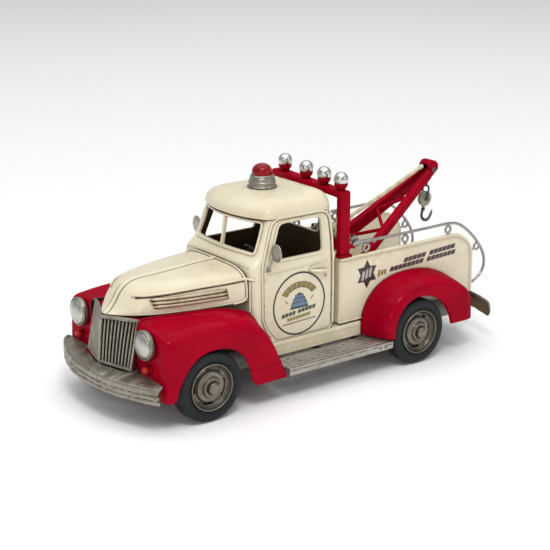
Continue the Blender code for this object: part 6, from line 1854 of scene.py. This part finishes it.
def hook_pieces():
    pin, low = np.array([HEAD_PIN[0], 0.0, HEAD_PIN[1]]), np.array([BLOCK_PIN[0], 0.0, BLOCK_PIN[1]])
    down = (low - pin) / np.linalg.norm(low - pin)
    wide = np.array([0.0, 1.0, 0.0])
    eye = [(pin[0] + 2.2 * math.cos(a), 0.0, pin[2] + 2.2 * math.sin(a)) for a in (2 * math.pi * k / 48 for k in range(48))]
    parts = [tube(eye, 0.75, 14, closed=True)]
    parts.append(tube([tuple(pin + down * d) for d in (2.0, 2.6, 8.0, 12.6, 13.2)], [0.9, 1.0, 1.0, 1.0, 1.2], 18))
    bridge = curve_through([tuple(low + down * 1.4 + wide * 3.1), tuple(pin + down * 15.0 + wide * 3.1), tuple(pin + down * 13.4 + wide * 2.4), tuple(pin + down * 12.9), tuple(pin + down * 13.4 - wide * 2.4), tuple(pin + down * 15.0 - wide * 3.1), tuple(low + down * 1.4 - wide * 3.1)], 60)
    parts.append(tube(bridge, 0.75, 14))
    for side in (1, -1):
        parts.append(lathe([(0.0, side * 2.6), (1.5, side * 2.6), (1.6, side * 3.7), (1.3, side * 4.0), (0.0, side * 4.1)], "y", tuple(low), 24))
    piece("hanger_fork", merged(*parts), HOOK_STEEL, "hanger", ["hook_hanger"], 60)
    disc = [(0.0, -1.95), (1.9, -1.95), (2.1, -1.7), (4.0, -1.7), (4.6, -1.9), (5.5, -1.75), (5.75, -1.4), (5.75, 1.4), (5.5, 1.75), (4.6, 1.9), (4.0, 1.7), (2.1, 1.7), (1.9, 1.95), (0.0, 1.95)]
    block = lathe(soften(disc, 0.3, 4, closed=False), "y", tuple(low), 64)
    tail = tube([tuple(low + down * d) for d in (4.6, 6.6, 7.0, 7.2)], [1.5, 1.5, 1.4, 1.1], 24)
    piece("block_wheel", merged(block, tail), BLOCK, "block", ["hook_block"], 45)
    start = low + down * 7.5
    way = np.array([-down[2], 0.0, down[0]])
    if way[0] > 0:
        way = -way
    route = []
    for a, b in ((0.0, 0.0), (2.4, -0.5), (4.8, -0.8), (7.0, -0.2), (8.7, 1.6), (9.3, 4.0), (8.6, 6.4), (6.6, 8.0), (4.0, 8.9), (1.2, 9.6)):
        route.append(tuple(start + down * a + way * b))
    route = curve_through(route, 90)
    radii = []
    for k in range(90):
        t = k / 89
        swell = 1.0 + 0.28 * math.exp(-(((t - 0.5) / 0.16) ** 2))
        radii.append(swell * (1.0 if t < 0.86 else max(0.32, 1.0 - (t - 0.86) / 0.14 * 0.62)))
    collar = tube([tuple(start + down * d) for d in (0.0, 0.2, 1.4, 1.7)], [1.2, 1.6, 1.6, 1.1], 24)
    piece("hook_body", merged(tube(route, radii, 18), collar), HOOK_STEEL, "hook", ["tow_hook"], 60)


# ------------------------------------------------------------------ everything, then the studio


def studio():
    focus = bpy.data.cameras.new("camera")
    focus.lens, focus.sensor_width = 89.7, 36.0
    camera = bpy.data.objects.new("camera", focus)
    bpy.context.scene.collection.objects.link(camera)
    az, el = math.radians(143.18), math.radians(17.09)
    back = Vector((math.sin(az) * math.cos(el), -math.cos(az) * math.cos(el), math.sin(el)))
    right = Vector((0, 0, 1)).cross(back).normalized()
    over = back.cross(right)
    turn = Matrix((right, over, back)).transposed().to_4x4()
    camera.matrix_world = Matrix.Translation(Vector(((549.62 + SHIFT_X) * MM, 743.43 * MM, 352.16 * MM))) @ turn
    bpy.context.scene.camera = camera
    bpy.context.scene.view_settings.view_transform = "Standard"

    made, tree, shader, coord = fresh("floor_paper")
    grain = noise_of(tree, coord, 60, 4)
    tone = mix(tree, ramp(tree, grain, 0.3, 0.7, 0.0, 1.0), (0.975, 0.97, 0.965), (0.96, 0.955, 0.95))
    plug(tree, shader, Base_Color=tone, Roughness=0.75, Normal=bumps(tree, grain, 0.02, 0.0002))
    mesh = bpy.data.meshes.new("floor")
    work = bmesh.new()
    steps = 24
    grid = [[work.verts.new((-12.0 + 24.0 * i / steps, -12.0 + 24.0 * j / steps, -0.00005)) for j in range(steps + 1)] for i in range(steps + 1)]
    for i in range(steps):
        for j in range(steps):
            work.faces.new((grid[i][j], grid[i + 1][j], grid[i + 1][j + 1], grid[i][j + 1]))
    work.to_mesh(mesh)
    work.free()
    mesh.materials.append(made)
    floor = bpy.data.objects.new("floor", mesh)
    bpy.context.scene.collection.objects.link(floor)

    def soft(name, where, aim, size, power, tint=(1.0, 1.0, 1.0)):
        lamp = bpy.data.lights.new(name, "AREA")
        lamp.shape = "RECTANGLE"
        lamp.size, lamp.size_y = size
        lamp.energy = power
        lamp.color = tint
        obj = bpy.data.objects.new(name, lamp)
        obj.location = where
        obj.rotation_euler = (Vector(aim) - Vector(where)).to_track_quat("-Z", "Y").to_euler()
        bpy.context.scene.collection.objects.link(obj)

    soft("sky", (0.0, 0.0, 2.2), (0.0, 0.0, 0.0), (3.6, 3.6), 44.5, (1.0, 0.995, 0.985))
    soft("key", (0.35, 0.55, 1.0), (0.0, 0.0, 0.06), (0.3, 0.22), 3.4, (1.0, 0.985, 0.96))
    soft("fill", (1.0, 0.65, 0.45), (0.0, 0.0, 0.06), (0.35, 0.3), 1.1, (1.0, 0.99, 0.975))
    soft("side", (-0.55, 1.15, 0.55), (-0.05, 0.0, 0.06), (0.6, 0.5), 0.9)

    world = bpy.data.worlds.new("studio")
    bpy.context.scene.world = world
    world.use_nodes = True
    tree = world.node_tree
    ground = tree.nodes["Background"]
    ground.inputs["Color"].default_value = (0.96, 0.97, 1.0, 1.0)
    ground.inputs["Strength"].default_value = 0.5


def main():
    studio()
    for end, x in (("front", AXLE_X), ("rear", -AXLE_X)):
        for side in (1, -1):
            wheel_pieces(side, x, end)
    axle_pieces()
    underside()
    hood_pieces()
    hood_trims()
    nose_pieces()
    bumper_pieces()
    lamp_pieces()
    fender_pieces()
    board_pieces()
    cab_pieces()
    door_pieces()
    roof_pieces()
    wheel_and_beacon()
    bed_pieces()
    bar_pieces()
    rail_pieces()
    boom_pieces()
    winch_pieces()
    rope_pieces()
    hook_pieces()


main()
